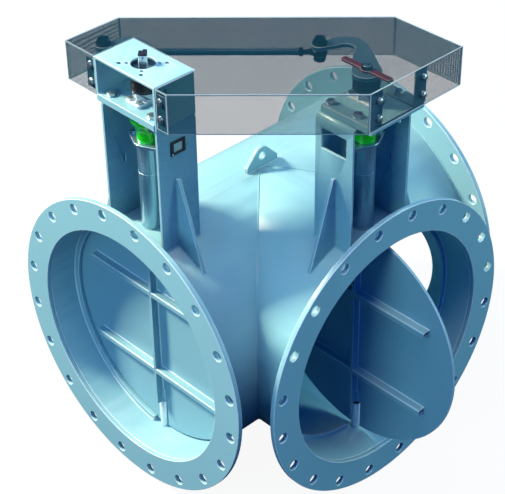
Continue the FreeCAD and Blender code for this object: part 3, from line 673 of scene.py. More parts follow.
def hexagon_prism(across: float, height: float, foot: bool, top: bool) -> bmesh.types.BMesh:
    """Makes a hexagon head or nut whose corners are turned down to a cone.

    Args:
        across: Size across the flats.
        height: From the foot at 0 to the top.
        foot: Whether the foot is turned down.
        top: Whether the top is turned down.

    Returns:
        The solid.
    """
    crown_r = CROWN * across

    def settle(vert: bmesh.types.BMVert, level: float, inward: float, round_ring: bool) -> None:
        """Puts a vertex on the crown's circle, or on the hexagon where the cone meets it.

        Args:
            vert: The vertex.
            level: Height of its ring.
            inward: Which way the corners are turned down, or 0.
            round_ring: Whether the ring is the crown's circle.
        """
        angle = math.atan2(vert.co.y, vert.co.x)
        reach = across / 2 / math.cos((angle + 1e-9) % (math.pi / 3) - math.pi / 6)
        drop = max(0.0, reach - crown_r) * math.tan(math.pi / 6) * inward
        if round_ring:
            reach, drop = crown_r, 0.0
        vert.co = (reach * math.cos(angle), reach * math.sin(angle), level + drop)

    rings = [(0.0, 0.0, True), (0.0, 1.0, False)] if foot else [(0.0, 0.0, False)]
    rings += [(height, -1.0, False), (height, 0.0, True)] if top else [(height, 0.0, False)]
    bm = bmesh.new()
    bmesh.ops.create_circle(bm, cap_ends=False, segments=24, radius=across / 2)
    edges = bm.edges[:]
    for i, (level, inward, round_ring) in enumerate(rings):
        if i:
            grown = bmesh.ops.extrude_edge_only(bm, edges=edges)["geom"]
            edges = [g for g in grown if isinstance(g, bmesh.types.BMEdge)]
        for vert in {v for edge in edges for v in edge.verts}:
            settle(vert, level, inward, round_ring)
        if i in (0, len(rings) - 1):
            bmesh.ops.contextual_create(bm, geom=edges)
    return bm


def thread(radius: float, z0: float, z1: float, pitch: float = 0.00175) -> bmesh.types.BMesh:
    """Makes a threaded end from z0 up to z1 with a point at the top.

    Args:
        radius: Outer radius of the thread.
        z0: Where it starts.
        z1: Where it ends.
        pitch: From one crest to the next.

    Returns:
        The solid.
    """
    depth = 0.6 * pitch
    profile: list[Point] = [(0.0, z0), (radius - depth, z0)]
    for i in range(max(1, int((z1 - z0 - depth) / pitch))):
        z = z0 + i * pitch
        profile += [(radius, z + 0.4 * pitch), (radius, z + 0.6 * pitch),
                    (radius - depth, z + pitch)]
    profile += [(radius - 2 * depth, z1), (0.0, z1)]
    return lathe(profile, 24)


def band(inner: float, outer: float, low: float, high: float, edge: float,
         steps: int = 32) -> bmesh.types.BMesh:
    """Makes a ring about Z whose outer edges are broken by a small width.

    Args:
        inner: Radius of its bore.
        outer: Outer radius.
        low: Height of its foot.
        high: Height of its top.
        edge: Width of the broken edges.
        steps: Steps of its turn.

    Returns:
        The solid.
    """
    return lathe([(inner, low), (outer - edge, low), (outer, low + edge), (outer, high - edge),
                  (outer - edge, high), (inner, high)], steps)


def washer(outer: float, inner: float, height: float) -> bmesh.types.BMesh:
    """Makes a flat washer, its foot at 0."""
    return band(inner, outer, 0.0, height, min(0.0004, height / 4))


@dataclass(frozen=True)
class Screw:
    """A hexagon screw with a washer under its head, made about Z with its seat at 0."""

    radius: float
    across: float
    head: float
    length: float
    washer: float
    washer_r: float
    point: float = 0.0004

    def add_to(self, shape: Shape, place: Matrix, turn: float = 0.0) -> None:
        """Adds the screw to a shape, its head turned by some degrees.

        Args:
            shape: The shape.
            place: The seat, with the screw pointing down local Z.
            turn: The turn of its head in degrees.
        """
        lifted = place @ moved(z=self.washer)
        shape.add(hexagon_prism(self.across, self.head, False, True), lifted @ turned(turn))
        shape.add(lathe([(0, -self.length), (self.radius - self.point, -self.length),
                         (self.radius, self.point - self.length), (self.radius, 0), (0, 0)], 24),
                  lifted)
        shape.add(washer(self.washer_r, self.radius, self.washer), place)


def packed_mesh(node_name: str) -> bmesh.types.BMesh:
    """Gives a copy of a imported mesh, its triangles joined into flat faces.

    Args:
        node_name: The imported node.

    Returns:
        The copy.
    """
    bm = bmesh.new()
    bm.from_mesh(frame["nodes"][node_name].data)
    bmesh.ops.remove_doubles(bm, verts=bm.verts, dist=MERGE)
    bmesh.ops.dissolve_limit(bm, angle_limit=FLAT, verts=bm.verts, edges=bm.edges,
                             use_dissolve_boundaries=False, delimit=set())
    return bm


def soften(width: float, finish: Finish, *names: str, edge: Optional[Finish] = None,
           segments: int = 2) -> None:
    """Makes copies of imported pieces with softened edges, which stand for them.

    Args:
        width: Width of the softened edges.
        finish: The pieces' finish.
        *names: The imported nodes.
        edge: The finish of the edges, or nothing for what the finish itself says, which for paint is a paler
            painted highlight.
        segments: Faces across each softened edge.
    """
    for name in names:
        bm = packed_mesh(name)
        for face in bm.faces:
            bends = (abs(side.calc_face_angle(0.0)) for side in face.edges)
            face.smooth = any(CURVED[0] < bend < CURVED[1] for bend in bends)
            face.material_index = 0
        piece = add_piece(name + "_soft", bm, finish, edge or finish.edge(), replaced=name)
        bevel = piece.modifiers.new("softened_edges", "BEVEL")
        bevel.limit_method = "ANGLE"
        bevel.angle_limit = CURVED[1]
        bevel.width = width
        bevel.segments = segments
        bevel.use_clamp_overlap = False
        bevel.harden_normals = True
        # The bevel faces take slot 1, the edge finish: for paint, a paler painted highlight.
        bevel.material = 1


def joint_place(name: str) -> Vector:
    """Gives the point that a joint turns about."""
    return Vector(next(j["pos_m"] for j in frame["joints"] if j["name"] == name))


@dataclass
class Layout:
    """Places that the sub-assemblies share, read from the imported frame.

    Moving pieces stand at front_place and side_place. In places, for the fixed pieces, the side
    valve's own frame is turned, so that both ducts lie along local Y.
    """

    wall: float = 0.005

    def __post_init__(self) -> None:
        """Reads the joints and the boxes of the ducts and flanges."""
        self.front = joint_place("front_shaft_turn") * Vector((1, 1, 0))
        self.side = joint_place("side_shaft_turn") * Vector((1, 1, 0))
        self.crossing = Vector((self.front.x, self.side.y, 0))
        self.pin = joint_place("tie_rod_pin_turn") - self.front
        self.front_place, self.side_place = moved(*self.front), moved(*self.side)
        self.places = (self.front_place, self.side_place @ turned(90))
        self.duct_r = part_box("run_duct")[1].z
        self.bore_r = self.duct_r - self.wall
        self.duct_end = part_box("common_port_flange")[0].y - self.crossing.y
        self.tower_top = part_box("front_tower")[1].z
        self.plate_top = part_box("front_top_plate")[1].z
        self.lever_low, self.lever_top = (p.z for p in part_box("front_lever"))

    def crown(self, u: float, radius: float = 0.0) -> float:
        """Height of a duct's outside at a distance u from its axis."""
        return math.sqrt((radius or self.duct_r) ** 2 - u ** 2)


@dataclass
class DuctWork:
    """The mitred tee with its flanges, stops and lifting lug, and the welds between them."""

    layout: Layout
    ring_bead: float = 0.0024
    seam_bead: float = 0.0020
    stop_bead: float = 0.0022
    lug_bead: float = 0.0026
    lug_end: float = 0.001
    seam_lift: float = 0.10
    stop_lift: float = 0.30
    stop_gap: float = 0.030
    mitre_share: float = 1.22   # a mitre's length over that of half a round duct

    def build(self) -> None:
        """Softens the painted pieces and lays the welds."""
        stops = ("front_left_stop", "front_right_stop", "side_inner_stop", "side_outer_stop")
        soften(0.0010, DUCT_PAINT, "run_duct", "branch_duct")
        soften(0.0012, FLANGE_PAINT, "common_port_flange", "front_port_flange",
               "side_port_flange")
        soften(0.0007, STOP_PAINT, *stops)
        soften(0.0014, DUCT_PAINT, "lifting_lug")
        self.add_flange_welds()
        self.add_mitre_weld()
        self.add_stop_welds(stops)
        self.add_lug_welds()

    def add_flange_welds(self) -> None:
        """Lays a weld round the duct behind each flange."""
        lay = self.layout
        shape = Shape()
        radius = lay.duct_r + SUNK * self.ring_bead
        back = lay.duct_end - SUNK * self.ring_bead
        for out, across in ((UNIT_Y, UNIT_X), (-UNIT_Y, UNIT_X), (UNIT_X, UNIT_Y)):
            centre = lay.crossing + out * back

            def ring(t: float, centre: Vector = centre, across: Vector = across) -> Vector:
                """Runs once round the duct."""
                return centre + radius * (across * math.cos(math.tau * t)
                                          + UNIT_Z * math.sin(math.tau * t))
            shape.add_bead(ring, math.tau * radius, self.ring_bead, closed=True)
        shape.finish("flange_welds", DUCT_PAINT, slot="duct_paint")

    def add_mitre_weld(self) -> None:
        """Lays the weld along the mitre, where the two ducts meet."""
        lay = self.layout
        shape = Shape()
        for side in (-1, 1):
            def mitre(t: float, side: int = side) -> Vector:
                """Runs over the tee from the crown to the bottom.

                Args:
                    t: The share of the way.
                    side: The side of the crossing, -1 or 1.

                Returns:
                    The point.
                """
                angle = math.pi * (0.5 - t)
                out = lay.duct_r * math.cos(angle)
                return lay.crossing + Vector((out, side * out, lay.duct_r * math.sin(angle)))
            shape.add_bead(mitre, self.mitre_share * math.pi * lay.duct_r, self.seam_bead,
                           lift=self.seam_lift)
        shape.finish("mitre_weld", DUCT_PAINT, slot="duct_paint")

    def add_stop_welds(self, names: Sequence[str]) -> None:
        """Lays the weld along each half stop, on the side away from the disc.

        Args:
            names: The half stops.
        """
        shape = Shape()
        radius = self.layout.bore_r - SUNK * self.stop_bead
        start = math.asin(self.stop_gap / radius)
        for name in names:
            front = name.startswith("front")
            centre = self.layout.front if front else self.layout.side
            across, along = (UNIT_X, UNIT_Y) if front else (UNIT_Y, UNIT_X)
            low, high = (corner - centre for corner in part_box(name))
            middle = (low + high) / 2
            face = max(low.dot(along), high.dot(along), key=abs)
            face += math.copysign(SUNK * self.stop_bead, middle.dot(along))
            half = across * math.copysign(1.0, middle.dot(across))

            def arc(t: float, centre: Vector = centre + along * face,
                    half: Vector = half) -> Vector:
                """Runs from the bottom to the top of one half."""
                angle = (start - math.pi / 2) + t * (math.pi - 2 * start)
                return centre + radius * (half * math.cos(angle) + UNIT_Z * math.sin(angle))
            shape.add_bead(arc, math.pi * radius, self.stop_bead, lift=self.stop_lift)
        # The welds take the paler edge paint: a painted highlight along each weld.
        shape.finish("stop_welds", STOP_PAINT.edge(), slot="stop_paint")

    def add_lug_welds(self) -> None:
        """Lays a weld along both sides of the lug's foot."""
        low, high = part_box("lifting_lug")
        shape = Shape()
        for x in (low.x - STAND, high.x + STAND):
            z = self.layout.crown(x)
            shape.add_line((x, low.y + self.lug_end, z), (x, high.y - self.lug_end, z),
                           self.lug_bead)
        shape.finish("lug_welds", DUCT_PAINT, slot="duct_paint")


@dataclass
class TowerFoot:
    """The welds of one tower and of its shaft tube, laid in the tower's own frame."""

    layout: Layout
    name: str
    place: Matrix
    half_u: float = 0.092
    out_v: float = 0.050
    in_v: float = 0.060
    gusset_half: float = 0.004
    gusset_out: float = 0.169
    gusset_top: float = 0.468
    tube_r: float = 0.0255
    bead: float = 0.0022
    gusset_bead: float = 0.00176
    gusset_foot: float = 0.09
    tube_bead: float = 0.0020

    def build(self) -> None:
        """Lays the welds of the legs, the back wall, the gussets and the tube."""
        shape = Shape()
        for side in (-1, 1):
            self.add_leg_welds(shape, side)
        shape.add_bead(self.back, 2 * self.half_u, self.bead)
        for side, half in CORNERS:
            self.add_gusset_welds(shape, side, half * (self.gusset_half + STAND))
        shape.add_bead(self.saddle, math.tau * self.tube_r, self.tube_bead, closed=True)
        shape.bm.transform(self.place)
        shape.finish(self.name + "_tower_welds", TOWER_PAINT, slot="tower_paint")

    def add_leg_welds(self, shape: Shape, side: int) -> None:
        """Lays welds along the outside of a leg's foot, one on each side of its gusset.

        Args:
            shape: The shape that takes them.
            side: The side of the tower, -1 or 1.
        """
        u, z = side * (self.half_u + STAND), self.layout.crown(self.half_u)
        for v0, v1 in ((-self.out_v, -self.gusset_half), (self.gusset_half, self.in_v)):
            shape.add_line((u, v0, z), (u, v1, z), self.bead)

    def back(self, t: float) -> Vector:
        """Runs over the duct from one leg to the other, along the back wall's foot."""
        u = self.half_u * (2 * t - 1)
        return Vector((u, self.in_v + STAND, self.layout.crown(u)))

    def add_gusset_welds(self, shape: Shape, side: int, v: float) -> None:
        """Lays welds down one side of a gusset and outwards along its foot on the duct.

        Args:
            shape: The shape that takes them.
            side: The side of the tower, -1 or 1.
            v: Where the welds' middles are along the duct.
        """
        u = side * self.half_u
        shape.add_line((u, v, self.gusset_top), (u, v, self.layout.crown(u)), self.gusset_bead)

        def foot(t: float) -> Vector:
            """Runs outwards over the duct."""
            u = self.half_u + t * (self.gusset_out - self.half_u)
            return Vector((side * u, v, self.layout.crown(u)))
        shape.add_bead(foot, self.gusset_foot, self.gusset_bead)

    def saddle(self, t: float) -> Vector:
        """Runs once round the tube, where it meets the duct."""
        u, v = (self.tube_r * f(math.tau * t) for f in (math.cos, math.sin))
        return Vector((u, v, self.layout.crown(u)))


@dataclass
class Towers:
    """Both towers: folded shells, gussets, tubes, glands, top plates and every screw on them."""

    layout: Layout
    plate_u: float = 0.066
    plate_v: float = 0.039
    foot_t: float = 0.0025
    screw_tip: float = 0.0018
    web_t: float = 0.006
    nut_h: float = 0.0102
    plate_screw: Screw = Screw(0.006, 0.019, 0.0063, 0.0340, 0.0015, 0.0115)
    plate_turns: tuple[int, ...] = (0, 7, -5, 11)
    gland_u: float = 0.044
    gland_screw: Screw = Screw(0.005, 0.017, 0.0052, 0.0130, 0.0012, 0.0095)
    tube_r: float = 0.0255
    seam_z: float = 0.450
    seam_half: float = 0.0006
    seam_proud: float = 0.0003
    seam_sunk: float = 0.0005
    neck_r: float = 0.0245
    flare_r: float = 0.038
    neck_h: float = 0.019
    flare_h: float = 0.033
    flare_power: float = 0.85
    gland_bore: float = 0.013
    gland_edge: float = 0.0006
    rounding: float = 0.0022
    lip_out: float = 0.020
    lip_in: float = 0.018
    lip_depth: float = 0.0012
    tip_proud: float = 0.00008

    def build(self) -> None:
        """Builds both towers."""
        soften(0.0009, TOWER_PAINT, "front_tower", "side_tower", "tower_gussets",
               "front_top_plate", "side_top_plate")
        # The tubes' softened edges take the paler steel: a painted highlight.
        soften(0.0007, TUBE_STEEL, "front_shaft_tube", "side_shaft_tube", edge=TUBE_HIGHLIGHT)
        bushes = frame["nodes"]["tube_bushes"]
        bushes.material_slots[0].material = BUSH_BRONZE.material()
        LOG.info("packed tube_bushes wear %s", BUSH_BRONZE.name)
        for name, place in zip(("front", "side"), self.layout.places):
            TowerFoot(self.layout, name, place).build()
            self.add_gland(name, place)
        self.add_tube_seams()
        self.add_plate_screws()
        self.add_gland_screws()

    def add_gland(self, name: str, place: Matrix) -> None:
        """Spins one gland: a straight neck that flares out to a rounded rim.

        Args:
            name: The valve it belongs to.
            place: The valve's place.
        """
        low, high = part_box(name + "_gland")
        foot, bore, edge = low.z, self.gland_bore, self.gland_edge
        profile = [(bore, foot), (self.neck_r - edge, foot), (self.neck_r, foot + edge)]
        for i in range(11):
            share = i / 10
            swell = (1 - math.cos(share * math.pi / 2)) ** self.flare_power
            profile.append((self.neck_r + (self.flare_r - self.neck_r) * swell,
                            foot + self.neck_h + share * self.flare_h))
        for i in range(5):
            turn = i / 4 * math.pi / 2
            profile.append((self.flare_r - self.rounding * (1 - math.cos(turn)),
                            high.z - self.rounding * (1 - math.sin(turn))))
        profile += [(self.lip_out, high.z), (self.lip_in, high.z - self.lip_depth),
                    (bore, high.z - self.lip_depth)]
        shape = Shape()
        shape.add(lathe(profile, 72), place)
        shape.finish(name + "_gland_bell", GLAND_GREEN, replaced=name + "_gland")

    def add_tube_seams(self) -> None:
        """Runs a fine ring round each tube, where its sleeve begins, in paler steel that is a painted highlight.
        """
        r, half = self.tube_r, self.seam_half
        inner, outer = r - self.seam_sunk, r + self.seam_proud
        shape = Shape()
        for place in self.layout.places:
            shape.add(lathe([(inner, -half), (r, -half), (outer, -half / 2), (outer, half / 2),
                             (r, half), (inner, half)], 64), place @ moved(z=self.seam_z))
        shape.finish("tube_seams", TUBE_HIGHLIGHT, slot="tube_steel")

    def add_plate_screws(self) -> None:
        """Sets the screws of both top plates with their washers and nuts."""
        shape = Shape()
        nut_foot = self.layout.tower_top - self.web_t - self.nut_h
        for place, raised in zip(self.layout.places, (0.0, self.foot_t)):
            top = self.layout.plate_top + raised
            screw = replace(self.plate_screw, length=top - nut_foot + self.screw_tip)
            thickness = self.nut_h - screw.washer
            for (u, v), turn in zip(CORNERS, self.plate_turns):
                spot = place @ moved(u * self.plate_u, v * self.plate_v)
                screw.add_to(shape, spot @ moved(z=top), turn)
                under = spot @ moved(z=nut_foot)
                nut = under @ turned(30)
                shape.add(hexagon_prism(screw.across, thickness, True, False), nut)
                shape.add(washer(screw.washer_r, screw.radius, screw.washer),
                          nut @ moved(z=thickness))
                shape.add(thread(screw.radius + self.tip_proud, 0, self.screw_tip),
                          under @ turned(180, "X"))
        shape.finish("top_plate_screws", ZINC, replaced="top_plate_bolts")

    def add_gland_screws(self) -> None:
        """Sets the two screws of each tube's oval ring."""
        shape = Shape()
        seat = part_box("front_gland")[0].z
        for place in self.layout.places:
            for u in (-1, 1):
                self.gland_screw.add_to(shape, place @ moved(u * self.gland_u, z=seat), 8 * u)
        shape.finish("gland_screws", ZINC, replaced="gland_bolts")


@dataclass
class Bearings:
    """Both upper bearings and both lower pivots."""

    layout: Layout
    bolt_x: float = 0.014
    bolt_y: float = 0.029
    bolt_turns: tuple[int, ...] = (4, -9, 13, 2)
    foot_t: float = 0.008
    housing_r: float = 0.030
    chamfer: float = 0.0014
    bore_r: float = 0.01255
    lid_radii: tuple[float, ...] = (0.024, 0.0235, 0.017, 0.0165)
    lid_depth: float = 0.0010
    groove_z: float = 0.004
    groove_w: float = 0.002
    groove_depth: float = 0.001
    groove_ramp: float = 0.0002
    roller_count: int = 60
    roller_r: float = 0.00085
    post_half: float = 0.018
    nipple_z: float = 0.018
    nipple_across: float = 0.0072
    nipple_h: float = 0.0024
    nipple: tuple[Point, ...] = (
        (0, -0.002), (0.0032, -0.002), (0.0032, 0.003), (0.0019, 0.0042), (0.0019, 0.0052),
        (0.0026, 0.0062), (0.0026, 0.0075), (0.0016, 0.0092), (0, 0.0092))
    pivot_r: float = 0.011
    pivot_bead: float = 0.0022
    washer_r: float = 0.0135
    washer_bore: float = 0.0061
    screw: Screw = Screw(0.004, 0.013, 0.0042, 0.0240, 0.0010, 0.0078)

    def build(self) -> None:
        """Builds the bearings and pivots."""
        soften(0.0014, BASE_CASTING, "bearing_bases", segments=3)
        soften(0.0008, PIVOT_STEEL, "lower_pivots")
        for name, place in zip(("front", "side"), self.layout.places):
            self.add_housing(name, place)
        self.add_screws()
        self.add_grease_nipples()
        self.add_pivot_welds()
        self.add_thrust_washers()

    def add_housing(self, name: str, place: Matrix) -> None:
        """Spins one black housing with its groove, its cover ring and its row of rollers.

        Args:
            name: The valve it belongs to.
            place: The valve's place.
        """
        low, high = (corner.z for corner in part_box(name + "_bearing_housing"))
        r, edge, ramp = self.housing_r, self.chamfer, self.groove_ramp
        inner = r - self.groove_depth
        lid = zip(self.lid_radii, (high, high - self.lid_depth, high - self.lid_depth, high))
        groove, groove_top = low + self.groove_z, low + self.groove_z + self.groove_w
        shape = Shape()
        shape.add(lathe([(self.bore_r, low), (r - edge, low), (r, low + edge), (r, groove),
                         (inner, groove + ramp), (inner, groove_top - ramp), (r, groove_top),
                         (r, high - edge), (r - edge, high), *lid, (self.bore_r, high)], 96),
                  place)
        out = moved(inner, z=groove + self.groove_w / 2)
        for i in range(self.roller_count):
            dot = bmesh.new()
            bmesh.ops.create_icosphere(dot, subdivisions=1, radius=self.roller_r)
            shape.add(dot, place @ turned(360 * i / self.roller_count) @ out, 1)
        shape.finish(name + "_housing_turned", HOUSING_BLACK, SHAFT_STEEL,
                     replaced=name + "_bearing_housing")

    def add_screws(self) -> None:
        """Sets the four screws of each bearing's foot."""
        shape = Shape()
        top = self.layout.plate_top + self.foot_t
        for place in self.layout.places:
            for (x, y), turn in zip(CORNERS, self.bolt_turns):
                seat = place @ moved(x * self.bolt_x, y * self.bolt_y, top)
                self.screw.add_to(shape, seat, turn)
        shape.finish("bearing_base_screws", ZINC, replaced="bearing_base_bolts")

    def add_grease_nipples(self) -> None:
        """Screws a grease nipple into the face of each bearing's turned square post."""
        shape = Shape()
        out = moved(0, -self.post_half, self.layout.plate_top + self.nipple_z) @ turned(90, "X")
        for place in self.layout.places:
            spot = place @ turned(-45) @ out
            shape.add(lathe(self.nipple, 24), spot)
            shape.add(hexagon_prism(self.nipple_across, self.nipple_h, True, True), spot)
        shape.finish("grease_nipples", PIVOT_STEEL, slot="base_casting")

    def add_pivot_welds(self) -> None:
        """Lays a weld round the foot of each lower pivot."""
        lay = self.layout
        shape = Shape()
        for place in lay.places:
            def foot(t: float, place: Matrix = place) -> Vector:
                """Runs once round the post on the duct's floor."""
                u, v = (self.pivot_r * f(math.tau * t) for f in (math.cos, math.sin))
                return place @ Vector((u, v, -lay.crown(u, lay.bore_r)))
            shape.add_bead(foot, math.tau * self.pivot_r, self.pivot_bead, closed=True)
        shape.finish("pivot_welds", DUCT_PAINT, slot="duct_paint")

    def add_thrust_washers(self) -> None:
        """Lays a washer on each pivot's shoulder, pale at the front and dark at the side, where the dark is
        painted shade.
        """
        low, high = (corner.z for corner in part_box("thrust_washers"))
        shape = Shape()
        for slot, place in enumerate(self.layout.places):
            shape.add(washer(self.washer_r, self.washer_bore, high - low), place @ moved(z=low),
                      slot)
        # The side washer's black stands for the shade the side pivot sits in: painted shade.
        shape.finish("pivot_washers", WASHER_PLASTIC, HOUSING_BLACK, replaced="thrust_washers")


@dataclass
class Valve:
    """One valve: its disc with fin and ribs, shaft, hooked lever and lever pin."""

    layout: Layout
    name: str
    body: Body
    place: Matrix
    fin_half: float = 0.0035
    face_y: float = -0.003
    fin_low: float = -0.185
    fin_high: float = 0.200
    fin_bead: float = 0.0019
    rib_z: float = 0.115
    rib_half: float = 0.007
    rib_reach: float = 0.215
    rib_bead: float = 0.0017
    lift: float = 0.22
    pin_across: float = 0.024
    pin_r: float = 0.008
    pin_tip: float = 0.002
    tip_proud: float = 0.00004
    tip_pitch: float = 0.0010
    bore_gap: float = 0.0001
    washer_r: float = 0.017
    washer_t: float = 0.004
    spacer_r: float = 0.012
    spacer_h: float = 0.003
    eye_t: float = 0.015
    head_h: float = 0.0104
    nut_h: float = 0.0136

    def build(self) -> None:
        """Builds the moving pieces."""
        soften(0.0010, DISC_PAINT, self.name + "_disc")
        soften(0.0006, DISC_PAINT, self.name + "_disc_bars")
        # The shaft's softened edges take the paler pivot steel: a painted highlight.
        soften(0.0006, SHAFT_STEEL, self.name + "_shaft", edge=PIVOT_STEEL)
        soften(0.0011, LEVER_PAINT, self.name + "_lever")
        self.add_disc_welds()
        self.add_lever_pin()
        self.add_pin_washers()

    def add_disc_welds(self) -> None:
        """Lays welds along the fin's and the ribs' roots on the disc."""
        shape = Shape()
        y = self.face_y
        for side in (-1, 1):
            u, out = side * self.fin_half, side * self.rib_reach
            shape.add_line((u, y, self.fin_low), (u, y, self.fin_high), self.fin_bead,
                           lift=self.lift)
            for level, edge in CORNERS:
                z = level * self.rib_z + edge * self.rib_half
                shape.add_line((u, y, z), (out, y, z), self.rib_bead, lift=self.lift)
        shape.bm.transform(self.place)
        # The welds take the paler edge paint: a painted highlight along each root.
        shape.finish(self.name + "_disc_welds", DISC_PAINT.edge(), body=self.body,
                     slot="disc_paint")

    def pin_place(self, height: float) -> Matrix:
        """Gives the lever pin's axis at a height."""
        pin = self.layout.pin
        return self.place @ moved(pin.x, pin.y, height)

    def add_lever_pin(self) -> None:
        """Makes the pin: a screw from above and a nut under the rod end."""
        shape = Shape()
        seat = self.layout.lever_top + self.washer_t
        nut_foot = self.layout.lever_low - self.spacer_h - self.eye_t - self.nut_h
        head, foot = self.pin_place(seat), self.pin_place(nut_foot)
        shape.add(hexagon_prism(self.pin_across, self.head_h, False, True), head @ turned(12))
        shape.add(lathe([(0, nut_foot - seat), (self.pin_r, nut_foot - seat), (self.pin_r, 0),
                         (0, 0)], 32), head)
        shape.add(thread(self.pin_r + self.tip_proud, 0, self.pin_tip, self.tip_pitch),
                  foot @ turned(180, "X"))
        shape.add(hexagon_prism(self.pin_across, self.nut_h, True, True), foot @ turned(-6))
        shape.finish(self.name + "_pin_screw", BLACK_OXIDE, replaced=self.name + "_lever_pin")

    def add_pin_washers(self) -> None:
        """Makes the washer over the lever's eye and the spacer over the rod end."""
        shape = Shape()
        bore, lay = self.pin_r + self.bore_gap, self.layout
        shape.add(washer(self.washer_r, bore, self.washer_t), self.pin_place(lay.lever_top))
        shape.add(washer(self.spacer_r, bore, self.spacer_h),
                  self.pin_place(lay.lever_low - self.spacer_h))
        shape.finish(self.name + "_pin_rings", BLACK_OXIDE, replaced=self.name + "_pin_washers")


@dataclass
class Linkage:
    """The tie rod with its two rod ends and lock nuts, made along local X."""

    layout: Layout
    rod_r: float = 0.008
    rod_edge: float = 0.0012
    flat_in: float = 0.020
    flat_half: float = 0.007
    flat_depth: float = 0.0011
    flat_ramp: float = 0.0008
    spacer_h: float = 0.003
    eye_r: float = 0.017
    eye_t: float = 0.015
    eye_bore: float = 0.0118
    eye_edge: float = 0.0016
    eye_inset: float = 0.001
    ball_r: float = 0.0100
    ball_swell: float = 0.0016
    ball_bore: float = 0.0084
    neck: tuple[Point, ...] = ((0, 0.0145), (0.0095, 0.0145), (0.0072, 0.022), (0, 0.022))
    shank_r: float = 0.006
    shank_start: float = 0.021
    eye_to_nut: float = 0.036
    nut_t: float = 0.010
    nut_across: float = 0.018

    def build(self) -> None:
        """Builds the rod, its ends and the lock nuts."""
        lay = self.layout
        span = lay.side - lay.front
        height = lay.lever_low - self.spacer_h - self.eye_t / 2
        near = (lay.front_place @ moved(lay.pin.x, lay.pin.y, height)
                @ turned(math.degrees(math.atan2(span.y, span.x))))
        self.add_rod(near, span.length)
        self.add_ends((near, near @ moved(span.length) @ turned(180)))

    def add_rod(self, near: Matrix, length: float) -> None:
        """Spins the rod and flattens two places on it for a spanner.

        Args:
            near: The pin at its start, with the rod along local X.
            length: From one pin to the other.
        """
        r, edge, half, ramp = self.rod_r, self.rod_edge, self.flat_half, self.flat_ramp
        start = self.eye_to_nut + self.nut_t
        end = length - start
        profile = [(0, start), (r - edge, start), (r, start + edge)]
        for middle in (start + self.flat_in, end - self.flat_in):
            profile += [(r, middle - half), (r - self.flat_depth, middle - half + ramp),
                        (r - self.flat_depth, middle + half - ramp), (r, middle + half)]
        profile += [(r, end - edge), (r - edge, end), (0, end)]
        shape = Shape()
        shape.add(lathe(profile, 40), near @ turned(90, "Y"))
        shape.finish("tie_rod_turned", ROD_PAINT, replaced="tie_rod")

    def add_ends(self, places: Sequence[Matrix]) -> None:
        """Makes both rod ends with their bearing rings and threaded shanks, and the nuts.

        Args:
            places: Both pins, each with the rod along local X.
        """
        ends, nuts = Shape(), Shape()
        half = self.eye_t / 2
        reach = half - self.eye_inset
        ball = [(self.ball_bore, -half)]
        for step in range(-6, 7):
            turn = step * math.pi / 12
            ball.append((self.ball_r + self.ball_swell * math.cos(turn), half * math.sin(turn)))
        ball.append((self.ball_bore, half))
        for place in places:
            along = place @ turned(90, "Y")
            ends.add(band(self.eye_bore, self.eye_r, -reach, reach, self.eye_edge, 48), place)
            ends.add(lathe(ball, 40), place, 1)
            ends.add(lathe(self.neck, 32), along)
            ends.add(thread(self.shank_r, self.shank_start, self.eye_to_nut + self.nut_t), along)
            nuts.add(hexagon_prism(self.nut_across, self.nut_t, True, True),
                     along @ moved(z=self.eye_to_nut) @ turned(30))
        ends.finish("rod_end_eyes", BLACK_OXIDE, SHAFT_STEEL, replaced="rod_ends")
        nuts.finish("rod_jam_nuts", BLACK_OXIDE, replaced="rod_lock_nuts")


@dataclass
class ShaftTops:
    """The pointer on the side shaft and the cap on the front shaft's square end."""

    layout: Layout
    nut_across: float = 0.024

    def build(self) -> None:
        """Builds the pointer, its nut and the cap."""
        soften(0.0009, POINTER_PAINT, "pointer")
        soften(0.0007, CAP_BLACK, "square_cap", segments=3)
        low, high = (corner.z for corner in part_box("pointer_nut"))
        shape = Shape()
        shape.add(hexagon_prism(self.nut_across, high - low, False, True),
                  self.layout.side_place @ moved(z=low) @ turned(9))
        shape.finish("pointer_jam_nut", BLACK_OXIDE, replaced="pointer_nut")


@dataclass
class Nameplate:
    """The bare nameplate place on the front tower and the screw in its frame's corner."""

    screw: tuple[Point, ...] = ((0, 0), (0.0019, 0), (0.0019, 0.0003), (0.0013, 0.0007),
                                (0, 0.0008))
    screw_at: Triple = (-0.0001, 0.0042, 0.0038)

    def build(self) -> None:
        """Softens the frame and the blank and sets the small screw."""
        soften(0.0009, PLATE_BLACK, "nameplate_frame", segments=3)
        soften(0.0005, PLATE_PALE, "nameplate_blank")
        low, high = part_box("nameplate_frame")
        corner = Vector((high.x, low.y, low.z)) + Vector(self.screw_at)
        shape = Shape()
        shape.add(lathe(self.screw, 24), moved(*corner) @ turned(90, "Y"))
        shape.finish("nameplate_screw", PIVOT_STEEL, slot="nameplate_black")


